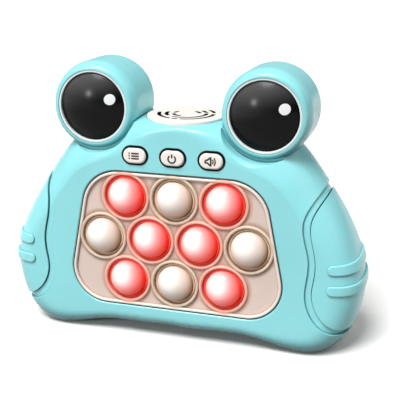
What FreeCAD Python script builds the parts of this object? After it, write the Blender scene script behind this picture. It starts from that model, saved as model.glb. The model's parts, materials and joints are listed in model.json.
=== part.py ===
"""Frog-shaped bubble popping toy: a hand-held light and sound game that stands on its lower edge.

Frame: +X to the viewer's right, +Y away from the viewer, +Z up, millimetres.
The origin is on the ground, under the middle of the toy's bounding box.
While the pieces are drawn, y is the depth behind the flat front face. Writing a piece out
moves it by FRONT_Y, so that the box is centred on the origin.
"""
import FreeCAD, Part
import math
import os
from FreeCAD import Vector

# Main sizes
BODY_DEPTH = 39.5
PARTING = 19.5
WALL = 2.4
PANEL_Z = 46.3
PITCH = 22.0
ROW_PITCH = PITCH * math.sqrt(3) / 2
PLATFORM_Z = 98.4

# Bubble domes and the soft mat that they sit in
DOME_R = 8.0
DOME_RISE = 3.8
DOME_SHOULDER = 1.8
DOME_SHOULDER_R = 4.4
DOME_SKIRT = 5.0
DOME_WALL = 1.2
DOME_TRAVEL = 3.0
STEM_R = 1.8
PILL_R = 2.3
PILL_THICK = 0.9
WELL_R = 9.6
WELL_FLOOR = 1.7
WELL_HOLE_R = DOME_R + 0.3
GROOVE_R = 8.95
GROOVE_FLOOR = 2.6
RIM_R = 10.95
RIM_TOP = 0.1
MAT_FACE = 1.2
MAT_BACK = 3.4
LIP_WIDTH = 1.2
LIP_TOP = -0.15
MAT_GAP = 0.5
MAT_FLANGE = 2.0

# Panel window: two corner circles a side, joined by tangent lines
CORNER_TOP = (24.9, 59.1, 17.5)
CORNER_LOW = (32.0, 30.8, 16.0)
WINDOW_FLARE = 0.5

# Buttons above the panel
BUTTON_X = (-16.84, 0.0, 16.84)
BUTTON_NAMES = ("menu_button", "power_button", "volume_button")
BUTTON_Z = 84.1
BUTTON_SIZE = (10.2, 6.6)
BUTTON_WELL = (11.7, 8.2)
BUTTON_FLANGE = (12.8, 9.0)
BUTTON_PROUD = 1.3
BUTTON_ROUND = 0.9
FLANGE_DEPTH = (WALL + 0.5, WALL + 1.2)
BUTTON_TRAVEL = 0.8

# Eye drums and eyes
EYE_X = 37.65
EYE_Z = 103.0
DRUM_R = 19.2
DRUM_FRONT = 4.3
DRUM_RIM = (3.3, 7.5)
DRUM_RIM_R = 2.2
DRUM_REAR_ROUND = 12.0
VALLEY_R = DRUM_R + 0.35
VALLEY_FLOOR = 7.0
VALLEY_ROUND = 2.8
EYE_SEAT_R = 15.75
EYE_SEAT_FLOOR = 8.4
EYE_R = 14.65
EYE_EDGE = 5.6
EYE_RISE = 4.4

# Speaker grille on the platform between the eyes
GRILLE_R = 17.3
GRILLE_THICK = 2.2
GRILLE_PROUD = 1.0
SOUND_HOLE_R = 11.4
CLOTH_R = 13.6
CLOTH_THICK = 0.5
SLOT_WIDTH = 1.7
SLOT_RINGS = (
    (12.0, ((-177, -113), (-101, -95), (-83, 4), (23, 49))),
    (8.8, ((173, 221), (-111, 11), (29, 54))),
    (5.7, ((151, 171), (-157, -105), (26, 59))),
)

# Loudspeaker under the platform
SPEAKER_R = 12.5
SPEAKER_TOP = PLATFORM_Z - WALL - 0.3
COLLAR_R = (12.7, 14.2)

# Circuit board and what is on it
BOARD_FACE = 8.4
BOARD_THICK = 1.6
CONTACT_GAP = 0.2
PILL_END = BOARD_FACE - DOME_TRAVEL - CONTACT_GAP
PLUNGER_TIP = FLANGE_DEPTH[1] + BUTTON_TRAVEL + 0.3
POSTS = ((52.7, 34.0), (42.0, 74.5))
POST_R = 2.6

# Case screws: x, z and the depth where the front boss starts
CASE_SCREWS = ((57.0, 22.5, 1.5), (51.0, 62.5, 1.5), (EYE_X, EYE_Z, EYE_SEAT_FLOOR))
SCREW_R = 1.4
HEAD_R = 2.8
HEAD_SEAT = 24.0
BOSS_R = 3.4
TOWER_R = 4.6

# Battery bay: three AA cells side by side
CELL_R = 7.25
CELL_LENGTH = 50.5
CELL_PITCH = 15.0
CELL_DEPTH = 28.9
BAY_X = 23.2
BAY_Z = (19.0, 73.0)
BAY_FRONT = 21.0
BAY_WALL = 1.3
DOOR_THICK = 2.2
DOOR_GAP = 0.25
DOOR_SCREW_Z = 17.0
EAR_R = 4.6
EAR_Z = 19.0
TAB_X = (-7.5, 7.5)
TAB_HALF = 3.0
CONTACT_HALF = (5.5, 5.0)
CONTACT_THICK = 0.4

# Side grips: outlines in front view, from the top end down to the bottom end
GRIP_STEP = ((66.5, 78.5), (60.5, 70.5), (56.0, 62.0), (56.2, 53.5), (58.2, 45.0), (58.0, 37.0),
             (57.2, 29.0), (58.8, 21.5), (63.5, 14.8), (70.0, 11.4), (78.0, 10.6))
GRIP_EDGE = ((69.0, 76.5), (63.5, 69.0), (59.4, 61.5), (59.6, 53.5), (61.4, 45.0), (61.3, 37.0),
             (60.4, 29.5), (61.9, 23.0), (66.0, 17.4), (71.0, 14.3), (78.0, 13.4))
GRIP_FAR_X = 95.0
GRIP_GAP = 0.4
CHANNEL_DEPTH = 1.0
POCKET_DEPTH = 1.8
RIB_PROUD = 0.9
RIB_ROUND = 0.6
RIB_Z = (41.4, 32.4)
RIB_WIDTH = 4.4
RIB_START_FRONT = 66.5
RIB_START_REAR = 74.0

# Right half of the housing, from the bottom centre up to the top centre. Each station gives a
# point of the flat face's edge, of the widest outline at the parting line and of the flat
# back's edge, then how square the front and rear roundings are (2 is an ellipse).
STATIONS = (
    ((0.0, 12.4), (0.0, 3.7), (0.0, 13.0), 3.0, 3.2),
    ((17.0, 12.4), (17.0, 3.7), (17.0, 13.0), 3.0, 3.2),
    ((31.5, 12.2), (33.0, 3.4), (31.5, 12.8), 3.0, 3.3),
    ((40.5, 11.3), (43.0, 1.4), (40.5, 12.0), 3.1, 3.4),
    ((48.5, 10.6), (52.0, -0.6), (48.0, 11.4), 3.1, 3.5),
    ((57.0, 11.4), (64.0, -0.6), (55.5, 12.4), 2.8, 3.2),
    ((63.0, 15.9), (72.9, 5.6), (60.5, 16.6), 2.5, 3.0),
    ((65.8, 24.5), (78.8, 18.5), (62.5, 24.6), 2.5, 3.1),
    ((66.2, 34.6), (80.0, 32.5), (62.5, 35.2), 2.6, 3.1),
    ((62.8, 46.6), (76.6, 46.5), (60.0, 46.6), 2.4, 3.0),
    ((56.8, 57.6), (70.9, 59.0), (55.5, 57.0), 2.0, 2.7),
    ((49.2, 68.6), (61.8, 73.5), (48.5, 68.0), 1.75, 2.5),
    ((41.0, 76.8), (51.5, 87.0), (41.0, 77.5), 1.7, 2.5),
    ((31.5, 80.5), (42.0, 94.6), (34.0, 82.5), 1.8, 2.5),
    ((21.0, 84.3), (28.5, 97.4), (24.5, 88.0), 2.2, 3.0),
    ((11.0, 90.0), (14.5, PLATFORM_Z), (13.0, 91.5), 3.4, 4.0),
    ((0.0, 93.3), (0.0, PLATFORM_Z), (0.0, 92.5), 5.0, 4.5),
)
SECTIONS = 6

FRONT_Y = (DOME_RISE - BODY_DEPTH) / 2


def cylinder(radius, x, z, near, far):
    """A cylinder along Y, from one depth to another."""
    return Part.makeCylinder(radius, far - near, Vector(x, near, z), Vector(0, 1, 0))


def box(x0, x1, y0, y1, z0, z1):
    """A box between two corners."""
    return Part.makeBox(x1 - x0, y1 - y0, z1 - z0, Vector(x0, y0, z0))


def prism(wire, near, far):
    """A flat outline in the XZ plane, carried from one depth to another."""
    face = Part.Face(wire)
    face.translate(Vector(0, near - wire.BoundBox.YMin, 0))
    return face.extrude(Vector(0, far - near, 0))


def joined(shapes):
    """All shapes fused into one."""
    first = shapes[0]
    return first.fuse(shapes[1:]) if len(shapes) > 1 else first


def mirrored(shape):
    """The same shape on the toy's other side."""
    return shape.mirror(Vector(0, 0, 0), Vector(1, 0, 0))


def revolved(edges):
    """Edges drawn in the XY plane, turned about the Y axis into a solid."""
    return Part.Face(Part.Wire(edges)).revolve(Vector(0, 0, 0), Vector(0, 1, 0), 360)


def line(a, b):
    """A straight edge in the XY plane."""
    return Part.LineSegment(Vector(a[0], a[1], 0), Vector(b[0], b[1], 0)).toShape()


def soft_corner(centre, half_x, half_y, small, shrink):
    """Two arcs in the XY plane that turn smoothly from square across to square along Y.

    They bound a quarter of an oval about the centre. The small radius sits at the tight end, the
    large one follows from both arcs being tangent, and shrink moves both arcs inwards.
    """
    long, short = max(half_x, half_y), min(half_x, half_y)
    large = (long ** 2 + short ** 2 - 2 * long * small) / (2 * (short - small))
    front_r, side_r = (large, small) if half_x > half_y else (small, large)
    front_y = centre[1] - half_y + front_r
    side_x = centre[0] + half_x - side_r
    turn = -math.degrees(math.atan2(abs(centre[1] - front_y), abs(side_x - centre[0])))
    return [arc((centre[0], front_y), front_r - shrink, -90, turn),
            arc((side_x, centre[1]), side_r - shrink, turn, 0)]


def arc(centre, radius, start, end):
    """A circular arc in the XY plane, between two angles in degrees."""
    points = []
    for part in (0.0, 0.5, 1.0):
        angle = math.radians(start + (end - start) * part)
        points.append(Vector(centre[0] + radius * math.cos(angle), centre[1] + radius * math.sin(angle), 0))
    return Part.Arc(*points).toShape()


def oblong(width, height, x, z):
    """A slot-shaped outline in the XZ plane."""
    r = height / 2
    half = width / 2 - r
    corners = [Vector(x - half, 0, z + r), Vector(x + half, 0, z + r),
               Vector(x + half, 0, z - r), Vector(x - half, 0, z - r)]
    edges = [Part.LineSegment(corners[0], corners[1]).toShape(),
             Part.Arc(corners[1], Vector(x + half + r, 0, z), corners[2]).toShape(),
             Part.LineSegment(corners[2], corners[3]).toShape(),
             Part.Arc(corners[3], Vector(x - half - r, 0, z), corners[0]).toShape()]
    return Part.Wire(edges)


def panel_outline(grow):
    """The panel window's outline, grown or shrunk evenly."""
    tx, tz, tr = CORNER_TOP
    lx, lz, lr = CORNER_LOW
    reach = math.hypot(lx - tx, tz - lz)
    lean = math.acos((tr - lr) / reach) - math.atan2(tz - lz, lx - tx)
    tr, lr = tr + grow, lr + grow

    def on(cx, cz, r, angle):
        return Vector(cx + r * math.cos(angle), 0, cz + r * math.sin(angle))

    def flip(p):
        return Vector(-p.x, 0, p.z)

    top = [on(tx, tz, tr, math.pi / 2), on(tx, tz, tr, (math.pi / 2 + lean) / 2), on(tx, tz, tr, lean)]
    low = [on(lx, lz, lr, lean), on(lx, lz, lr, (lean - math.pi / 2) / 2), on(lx, lz, lr, -math.pi / 2)]
    edges = [Part.LineSegment(flip(top[0]), top[0]).toShape(),
             Part.Arc(*top).toShape(),
             Part.LineSegment(top[2], low[0]).toShape(),
             Part.Arc(*low).toShape(),
             Part.LineSegment(low[2], flip(low[2])).toShape(),
             Part.Arc(*[flip(p) for p in reversed(low)]).toShape(),
             Part.LineSegment(flip(low[0]), flip(top[2])).toShape(),
             Part.Arc(*[flip(p) for p in reversed(top)]).toShape()]
    return Part.Wire(edges)


def dome_places():
    """Centres of the ten bubbles: rows of three, four and three on a honeycomb grid."""
    places = []
    for row, count in ((1, 3), (0, 4), (-1, 3)):
        for k in range(count):
            places.append(((k - (count - 1) / 2) * PITCH, PANEL_Z + row * ROW_PITCH))
    return places


def both_sides(points):
    """Points of the right half, then the left half's on the way back, as one closed ring."""
    return points + [Vector(-p.x, p.y, p.z) for p in points[-2:0:-1]]


def girth_ring():
    """The stations' points on the widest outline, all the way round."""
    return both_sides([Vector(station[1][0], 0, station[1][1]) for station in STATIONS])


def ring_knots():
    """How far round the widest outline each station lies, as shares of the whole way."""
    ring = girth_ring()
    way = [0.0]
    for a, b in zip(ring, ring[1:] + ring[:1]):
        way.append(way[-1] + (b - a).Length)
    return [w / way[-1] for w in way]


def outward():
    """Unit vectors square to the widest outline at each station, pointing out of the toy."""
    ring = girth_ring()
    normals = []
    for k in range(len(STATIONS)):
        along = ring[k + 1] - ring[k - 1]
        normals.append(Vector(along.z, 0, -along.x).normalize())
    return normals


def section(index, inset, rear):
    """One closed curve of the housing, a step of the way from the flat face to the parting line."""
    angle = math.radians(90.0 * index / SECTIONS)
    depth = BODY_DEPTH - PARTING if rear else PARTING
    points = []
    for station, normal in zip(STATIONS, outward()):
        face, girth, back, front_square, rear_square = station
        inner = Vector(back[0], 0, back[1]) if rear else Vector(face[0], 0, face[1])
        power = 2 / (rear_square if rear else front_square)
        reach = Vector(girth[0], 0, girth[1]) - normal * inset - inner
        place = inner + reach * math.sin(angle) ** power
        in_deep = inset + (depth - inset) * (1 - math.cos(angle) ** power)
        if index == SECTIONS:
            in_deep = depth
        place.y = BODY_DEPTH - in_deep if rear else in_deep
        points.append(place)
    curve = Part.BSplineCurve()
    curve.interpolate(Points=both_sides(points), PeriodicFlag=True, Parameters=ring_knots())
    return Part.Wire([curve.toShape()])


def housing_half(inset, rear):
    """The front or rear half of the pillow-shaped housing, shrunk inwards by inset."""
    order = range(SECTIONS, -1, -1) if rear else range(SECTIONS + 1)
    return Part.makeLoft([section(k, inset, rear) for k in order], True, False)


def housing(inset):
    """Both halves of the housing form, shrunk inwards by inset."""
    return housing_half(inset, False).fuse(housing_half(inset, True))


def drum():
    """One eye drum, rounded at the front rim and more at the rear, about its own axis."""
    across, along = DRUM_RIM
    rim = (DRUM_R - across, DRUM_FRONT + along)
    tail = (DRUM_R - DRUM_REAR_ROUND, BODY_DEPTH - DRUM_REAR_ROUND)
    return revolved([
        line((0, DRUM_FRONT), (rim[0], DRUM_FRONT)),
        *soft_corner(rim, across, along, DRUM_RIM_R, 0),
        line((DRUM_R, rim[1]), (DRUM_R, tail[1])),
        arc(tail, DRUM_REAR_ROUND, 0, 90),
        line((tail[0], BODY_DEPTH), (0, BODY_DEPTH)),
        line((0, BODY_DEPTH), (0, DRUM_FRONT)),
    ])


def drum_hollow():
    """The space inside a drum, behind the wall that carries the eye."""
    r = DRUM_R - WALL
    round_r = DRUM_REAR_ROUND - WALL
    start = EYE_SEAT_FLOOR + WALL
    tail = (r - round_r, BODY_DEPTH - DRUM_REAR_ROUND)
    return revolved([
        line((0, start), (r - 1.5, start)),
        line((r - 1.5, start), (r, start + 3.0)),
        line((r, start + 3.0), (r, tail[1])),
        arc(tail, round_r, 0, 90),
        line((tail[0], BODY_DEPTH - WALL), (0, BODY_DEPTH - WALL)),
        line((0, BODY_DEPTH - WALL), (0, start)),
    ])


def drum_valley():
    """Space round a drum's front, with a rounded mouth where it meets the face."""
    mouth = VALLEY_R + VALLEY_ROUND
    return revolved([
        line((0, -5), (mouth, -5)),
        line((mouth, -5), (mouth, 0)),
        arc((mouth, VALLEY_ROUND), VALLEY_ROUND, -90, -180),
        line((VALLEY_R, VALLEY_ROUND), (VALLEY_R, VALLEY_FLOOR)),
        line((VALLEY_R, VALLEY_FLOOR), (0, VALLEY_FLOOR)),
        line((0, VALLEY_FLOOR), (0, -5)),
    ])


def at_eyes(shape):
    """The shape at both eye axes."""
    pair = []
    for side in (-1, 1):
        pair.append(shape.translated(Vector(side * EYE_X, 0, EYE_Z)))
    return pair


def slab(rear):
    """Space for cutting the whole form into its front or rear half."""
    if rear:
        return box(-120, 120, PARTING, 60, -20, 160)
    return box(-120, 120, -20, PARTING, -20, 160)


def smooth_outline(points, far_x):
    """A curve through points, closed on the far side by straight lines beyond the housing."""
    curve = Part.BSplineCurve()
    curve.interpolate([Vector(x, 0, z) for x, z in points])
    top = Vector(points[0][0], 0, points[0][1])
    low = Vector(points[-1][0], 0, points[-1][1])
    top_far = Vector(far_x, 0, points[0][1] + 8)
    low_far = Vector(far_x, 0, points[-1][1])
    edges = [curve.toShape(), Part.LineSegment(low, low_far).toShape(),
             Part.LineSegment(low_far, top_far).toShape(), Part.LineSegment(top_far, top).toShape()]
    return Part.Wire(edges)


def grip_region(points):
    """Everything beside a grip outline, right through the toy."""
    return prism(smooth_outline(points, GRIP_FAR_X), -10, BODY_DEPTH + 10)


def grown(points, gap):
    """Points of a grip outline, each moved away from the grip by a gap."""
    moved = []
    for k, (x, z) in enumerate(points):
        before, after = points[max(k - 1, 0)], points[min(k + 1, len(points) - 1)]
        along = Vector(after[0] - before[0], 0, after[1] - before[1]).normalize()
        moved.append((x + along.z * gap, z - along.x * gap))
    return moved


def grip_recess():
    """What the right grip takes out of the housing: a shallow channel round a deeper pocket."""
    channel = grip_region(GRIP_STEP).cut(housing(CHANNEL_DEPTH))
    pocket = grip_region(grown(GRIP_EDGE, GRIP_GAP)).cut(housing(POCKET_DEPTH))
    return channel.fuse(pocket)


def rib_space(z, start, near, far):
    """Everything within a rib's outline, from where it starts out to beyond the side."""
    return prism(oblong(2 * (GRIP_FAR_X - start), RIB_WIDTH, GRIP_FAR_X, z), near, far)


def rib(z):
    """One raised rib round a grip's side, rounded along the edges of its raised face."""
    front = rib_space(z, RIB_START_FRONT, -10, PARTING)
    rear = rib_space(z, RIB_START_REAR, PARTING, BODY_DEPTH + 10)
    ridge = housing(-RIB_PROUD).common(front.fuse(rear).removeSplitter())
    raised = [f for f in ridge.Faces if isinstance(f.Surface, Part.BSplineSurface)]
    edges = []
    for edge in ridge.Edges:
        if sum(edge.isSame(other) for face in raised for other in face.Edges) == 1:
            edges.append(edge)
    return ridge.makeFillet(RIB_ROUND, edges)


def grip():
    """Right grip cover: a skin that follows the housing, with two raised ribs round its side."""
    skin = housing(0).common(grip_region(GRIP_EDGE))
    return skin.fuse([rib(z) for z in RIB_Z]).cut(housing(POCKET_DEPTH))


def case_bosses():
    """Where the case screws go: x, z and where the front boss starts, on both sides."""
    return [(side * x, z, start) for x, z, start in CASE_SCREWS for side in (-1, 1)]


def board_posts():
    """Where the circuit board is screwed down, on both sides."""
    return [(side * x, z) for x, z in POSTS for side in (-1, 1)]


def speaker_collar():
    """Ring under the platform that locates the speaker, cut to a half by each shell."""
    top = PLATFORM_Z - WALL + 0.4
    inner, outer = COLLAR_R
    ring = Part.makeCylinder(outer, 3.9, Vector(0, PARTING, top - 3.9))
    return ring.cut(Part.makeCylinder(inner, 3.9, Vector(0, PARTING, top - 3.9)))


def grille_seat():
    """Round pocket in the platform for the grille, with the sound hole under it."""
    floor = PLATFORM_Z + GRILLE_PROUD - GRILLE_THICK
    pocket = Part.makeCylinder(GRILLE_R + 0.15, 10, Vector(0, PARTING, floor))
    hole = Part.makeCylinder(SOUND_HOLE_R, 10, Vector(0, PARTING, floor - 6))
    return pocket.fuse(hole)


def ground_trim():
    """Below the ground plane: what flattens the two feet."""
    return box(-120, 120, -30, 80, -20, 0)


def tongue(inset_out, inset_in, far):
    """Strip along the bottom edge at the parting line, between two insets of the outline."""
    outer = prism(section(SECTIONS, inset_out, False), PARTING, far)
    inner = prism(section(SECTIONS, inset_in, False), PARTING, far)
    return outer.cut(inner).common(box(-50, 50, 0, 60, -5, 14))


def shell_blank(rear):
    """One half of the housing with its drums, hollowed, before anything is cut or added."""
    body = housing_half(0, rear)
    inside = housing_half(WALL, rear)
    if not rear:
        body = body.cut(at_eyes(drum_valley()))
        inside = inside.cut(at_eyes(cylinder(VALLEY_R + WALL - 0.5, 0, 0, -5, EYE_SEAT_FLOOR + WALL)))
    outer = joined([body] + at_eyes(drum()))
    hollow = joined([inside] + at_eyes(drum_hollow()))
    return outer.cut(hollow).common(slab(rear))


def panel_window():
    """The panel's opening through the face, flared at the front."""
    front = panel_outline(WINDOW_FLARE + 0.1)
    front.translate(Vector(0, -0.1, 0))
    throat = panel_outline(0)
    throat.translate(Vector(0, WINDOW_FLARE, 0))
    flare = Part.makeLoft([front, throat], True, True)
    return prism(panel_outline(0), 0, WALL + 1).fuse(flare)


def front_shell(recess):
    """Front half: face, panel window, button wells, eye seats, bosses and posts."""
    shell = shell_blank(False)
    adds = [cylinder(BOSS_R, x, z, start, PARTING) for x, z, start in case_bosses()]
    adds += [cylinder(POST_R, x, z, WALL - 0.8, BOARD_FACE) for x, z in board_posts()]
    adds.append(speaker_collar().common(slab(False)))
    adds.append(tongue(WALL / 2 + 0.1, WALL + 0.2, PARTING + 1.4))
    shell = shell.fuse(adds)
    cuts = [panel_window()]
    cuts += [prism(oblong(*BUTTON_WELL, x, BUTTON_Z), -5, WALL + 1) for x in BUTTON_X]
    cuts += at_eyes(cylinder(EYE_SEAT_R, 0, 0, -5, EYE_SEAT_FLOOR))
    cuts += [cylinder(SCREW_R + 0.03, x, z, start + 3.2, PARTING + 1) for x, z, start in case_bosses()]
    cuts += [cylinder(1.13, x, z, WALL, BOARD_FACE + 1) for x, z in board_posts()]
    cuts += [grille_seat(), recess, mirrored(recess), ground_trim()]
    return shell.cut(cuts)


def battery_bay():
    """Walls of the battery bay, open to the rear."""
    x = BAY_X + BAY_WALL
    z0, z1 = BAY_Z[0] - BAY_WALL, BAY_Z[1] + BAY_WALL
    outer = box(-x, x, BAY_FRONT - BAY_WALL, BODY_DEPTH - WALL + 0.5, z0, z1)
    return outer.cut(box(-BAY_X, BAY_X, BAY_FRONT, BODY_DEPTH, *BAY_Z))


def door_outline(gap):
    """Front view of the battery door: a rounded plate with a screw ear below."""
    width = 2 * (BAY_X + 0.8 - gap)
    z0, z1 = BAY_Z[0] + gap, BAY_Z[1] - 1.0 - gap
    plate = box(-width / 2, width / 2, 0, 10, z0, z1)
    edges = [e for e in plate.Edges if abs(e.tangentAt(e.FirstParameter).y) > 0.9]
    plate = plate.makeFillet(2.5, edges)
    return plate.fuse(cylinder(EAR_R - gap, 0, EAR_Z, 0, 10)).removeSplitter()


def rear_shell(recess):
    """Rear half: back, battery bay with its opening, and the towers for the case screws."""
    shell = shell_blank(True)
    adds = [cylinder(TOWER_R, x, z, PARTING, BODY_DEPTH - 1.6) for x, z, start in case_bosses()]
    adds.append(battery_bay())
    adds.append(cylinder(EAR_R + 0.6, 0, EAR_Z, BAY_FRONT + 3, BODY_DEPTH - 1.6))
    adds.append(speaker_collar().common(slab(True)))
    shell = shell.fuse(adds)
    cuts = [cylinder(HEAD_R + 0.5, x, z, HEAD_SEAT, BODY_DEPTH + 5) for x, z, start in case_bosses()]
    cuts += [cylinder(SCREW_R + 0.3, x, z, PARTING - 1, HEAD_SEAT + 1) for x, z, start in case_bosses()]
    cuts.append(box(-BAY_X, BAY_X, BAY_FRONT, BODY_DEPTH, *BAY_Z))
    door = door_outline(0)
    door.translate(Vector(0, BODY_DEPTH - DOOR_THICK, 0))
    cuts.append(door)
    cuts.append(cylinder(1.3, 0, DOOR_SCREW_Z, BAY_FRONT + 5, BODY_DEPTH))
    for x in TAB_X:
        reach = TAB_HALF + 0.3
        cuts.append(box(x - reach, x + reach, BODY_DEPTH - 5.4, BODY_DEPTH - DOOR_THICK, 70, 76.2))
    cuts.append(tongue(WALL / 2, WALL + 0.4, PARTING + 1.6))
    cuts += [grille_seat(), recess, mirrored(recess), ground_trim()]
    return shell.cut(cuts)


def battery_door():
    """Door with two hook tabs at the top edge and a screw ear at the bottom."""
    plate = door_outline(DOOR_GAP)
    plate = plate.common(box(-60, 60, 0, DOOR_THICK, 0, 100))
    plate.translate(Vector(0, BODY_DEPTH - DOOR_THICK, 0))
    inside = BODY_DEPTH - DOOR_THICK
    adds = []
    for x in TAB_X:
        adds.append(box(x - TAB_HALF, x + TAB_HALF, inside - 0.9, inside, 66, 71.5))
        adds.append(box(x - TAB_HALF, x + TAB_HALF, inside - 1.6, inside - 0.15, 71.4, 75.2))
    for z in (30, 46, 62):
        adds.append(box(-20, 20, inside - 0.8, inside, z - 0.6, z + 0.6))
    plate = plate.fuse(adds)
    hole = cylinder(1.25, 0, DOOR_SCREW_Z, 30, BODY_DEPTH + 1)
    sink = cylinder(2.9, 0, DOOR_SCREW_Z, BODY_DEPTH - 1.2, BODY_DEPTH + 1)
    return plate.cut([hole, sink])


def screw(x, z, head_near, head_r, head_thick, shank_r, length):
    """A pan head screw from the rear: its head's underside at head_near, its shank in front."""
    head = cylinder(head_r, x, z, head_near, head_near + head_thick)
    edges = [e for e in head.Edges if len(e.Vertexes) == 1 and e.BoundBox.YMin > head_near + 0.1]
    head = head.makeFillet(head_thick * 0.45, edges)
    shank = cylinder(shank_r, x, z, head_near - length, head_near)
    tip = shank.makeChamfer(0.4, [e for e in shank.Edges if e.BoundBox.YMax < head_near - length + 0.1])
    cross = [box(x - 1.5, x + 1.5, head_near + head_thick - 0.9, head_near + 9, z - 0.35, z + 0.35),
             box(x - 0.35, x + 0.35, head_near + head_thick - 0.9, head_near + 9, z - 1.5, z + 1.5)]
    return head.fuse(tip).cut(cross)


def speaker_grille():
    """Cream disc with broken rings of slots, sitting in the platform."""
    top = PLATFORM_Z + GRILLE_PROUD
    disc = Part.makeCylinder(GRILLE_R, GRILLE_THICK, Vector(0, PARTING, top - GRILLE_THICK))
    rim = [e for e in disc.Edges if len(e.Vertexes) == 1 and e.BoundBox.ZMin > top - 0.1]
    disc = disc.makeFillet(0.7, rim)
    base = Vector(0, PARTING, top - GRILLE_THICK)
    cuts = [Part.makeCylinder(CLOTH_R + 0.15, CLOTH_THICK + 0.1, base)]
    for radius, arcs in SLOT_RINGS:
        for start, end in arcs:
            cuts.append(ring_slot(radius, start, end, top))
    return disc.cut(cuts)


def speaker_cloth():
    """Thin black cloth disc in the hollow under the grille."""
    base = Vector(0, PARTING, PLATFORM_Z + GRILLE_PROUD - GRILLE_THICK)
    return Part.makeCylinder(CLOTH_R, CLOTH_THICK, base)


def ring_slot(radius, start, end, top):
    """One curved slot with round ends, through the grille."""
    inner, outer = radius - SLOT_WIDTH / 2, radius + SLOT_WIDTH / 2
    base = Vector(0, PARTING, top - 5)
    up = Vector(0, 0, 1)
    sweep = end - start
    band = Part.makeCylinder(outer, 10, base, up, sweep).cut(Part.makeCylinder(inner, 10, base, up))
    band.rotate(base, up, start)
    ends = []
    for angle in (start, end):
        a = math.radians(angle)
        place = Vector(radius * math.cos(a), PARTING + radius * math.sin(a), top - 5)
        ends.append(Part.makeCylinder(SLOT_WIDTH / 2, 10, place))
    return band.fuse(ends)


def eye_dome():
    """Glossy black dome of an eye, with a stepped edge that the white ring holds."""
    sphere_r = (EYE_R ** 2 + EYE_RISE ** 2) / (2 * EYE_RISE)
    centre_y = EYE_EDGE - EYE_RISE + sphere_r
    lean = math.degrees(math.asin(EYE_R / sphere_r))
    return revolved([
        arc((0, centre_y), sphere_r, -90, -90 + lean),
        line((EYE_R, EYE_EDGE), (EYE_R, EYE_SEAT_FLOOR - 1.2)),
        line((EYE_R, EYE_SEAT_FLOOR - 1.2), (EYE_R + 0.7, EYE_SEAT_FLOOR - 1.2)),
        line((EYE_R + 0.7, EYE_SEAT_FLOOR - 1.2), (EYE_R + 0.7, EYE_SEAT_FLOOR)),
        line((EYE_R + 0.7, EYE_SEAT_FLOOR), (0, EYE_SEAT_FLOOR)),
        line((0, EYE_SEAT_FLOOR), (0, EYE_EDGE - EYE_RISE)),
    ])


def eye_ring():
    """Thin white ring round an eye."""
    inner, outer = EYE_R + 0.05, EYE_SEAT_R - 0.05
    front = EYE_EDGE - 0.35
    back = EYE_SEAT_FLOOR - 1.25
    ring = cylinder(outer, 0, 0, front, back).cut(cylinder(inner, 0, 0, front, back))
    rims = [e for e in ring.Edges if len(e.Vertexes) == 1 and e.BoundBox.YMax < front + 0.1]
    return ring.makeFillet(0.3, rims)


def mat_rim(x, z):
    """Rounded rim round one bubble's well."""
    middle = (WELL_R + RIM_R) / 2
    half = (RIM_R - WELL_R) / 2
    ring = revolved([
        line((WELL_R, MAT_FACE + 0.5), (WELL_R, RIM_TOP + half)),
        arc((middle, RIM_TOP + half), half, -180, 0),
        line((RIM_R, RIM_TOP + half), (RIM_R, MAT_FACE + 0.5)),
        line((RIM_R, MAT_FACE + 0.5), (WELL_R, MAT_FACE + 0.5)),
    ])
    ring.translate(Vector(x, 0, z))
    return ring


def bubble_mat():
    """Soft mat: outer lip, flat web, ten rims, and a well with an opening for each bubble."""
    lip = prism(panel_outline(-MAT_GAP), LIP_TOP, MAT_FACE + 0.5)
    lip = lip.cut(prism(panel_outline(-MAT_GAP - LIP_WIDTH), LIP_TOP - 1, MAT_FACE + 1))
    edges = [e for e in lip.Edges if e.BoundBox.YMax < LIP_TOP + 0.01]
    lip = lip.makeFillet(0.5, edges)
    web = prism(panel_outline(-MAT_GAP), MAT_FACE, MAT_BACK)
    flange = prism(panel_outline(MAT_FLANGE), WALL, MAT_BACK)
    mat = joined([web, flange, lip] + [mat_rim(x, z) for x, z in dome_places()])
    cuts = []
    for x, z in dome_places():
        collar = cylinder(GROOVE_R, x, z, WELL_FLOOR, GROOVE_FLOOR)
        cuts.append(cylinder(WELL_R, x, z, LIP_TOP - 1, GROOVE_FLOOR).cut(collar))
        cuts.append(cylinder(WELL_HOLE_R, x, z, 0, MAT_BACK + 1))
    return mat.cut(cuts)


def bubble_form(shrink, end):
    """The solid form of a bubble, shrunk inwards, down to one depth."""
    radius = DOME_R - shrink
    return revolved([
        *soft_corner((0, DOME_SHOULDER), DOME_R, DOME_SHOULDER + DOME_RISE, DOME_SHOULDER_R, shrink),
        line((radius, DOME_SHOULDER), (radius, end)),
        line((radius, end), (0, end)),
        line((0, end), (0, shrink - DOME_RISE)),
    ])


def bubble_dome():
    """One hollow bubble with the stem and contact pill that meet the board when it is pressed."""
    outer = bubble_form(0, DOME_SKIRT)
    inner = bubble_form(DOME_WALL, DOME_SKIRT + 1)
    stem = cylinder(STEM_R, 0, 0, -DOME_RISE + DOME_WALL / 2, PILL_END)
    pill = cylinder(PILL_R, 0, 0, PILL_END - PILL_THICK, PILL_END)
    return joined([outer.cut(inner), stem, pill])


def support_plate():
    """Plate behind the mat that presses its edge against the shell, with studs to the board."""
    near, far = MAT_BACK, MAT_BACK + 1.2
    plate = prism(panel_outline(MAT_FLANGE), near, far)
    studs = []
    for side in (-1, 1):
        for up in (-1, 1):
            studs.append((side * PITCH / 2, PANEL_Z + up * ROW_PITCH * 2 / 3))
            studs.append((side * PITCH, PANEL_Z + up * ROW_PITCH / 3))
    plate = plate.fuse([cylinder(1.9, x, z, near, BOARD_FACE) for x, z in studs])
    return plate.cut([cylinder(DOME_R + 0.7, x, z, 0, far + 1) for x, z in dome_places()])


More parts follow.
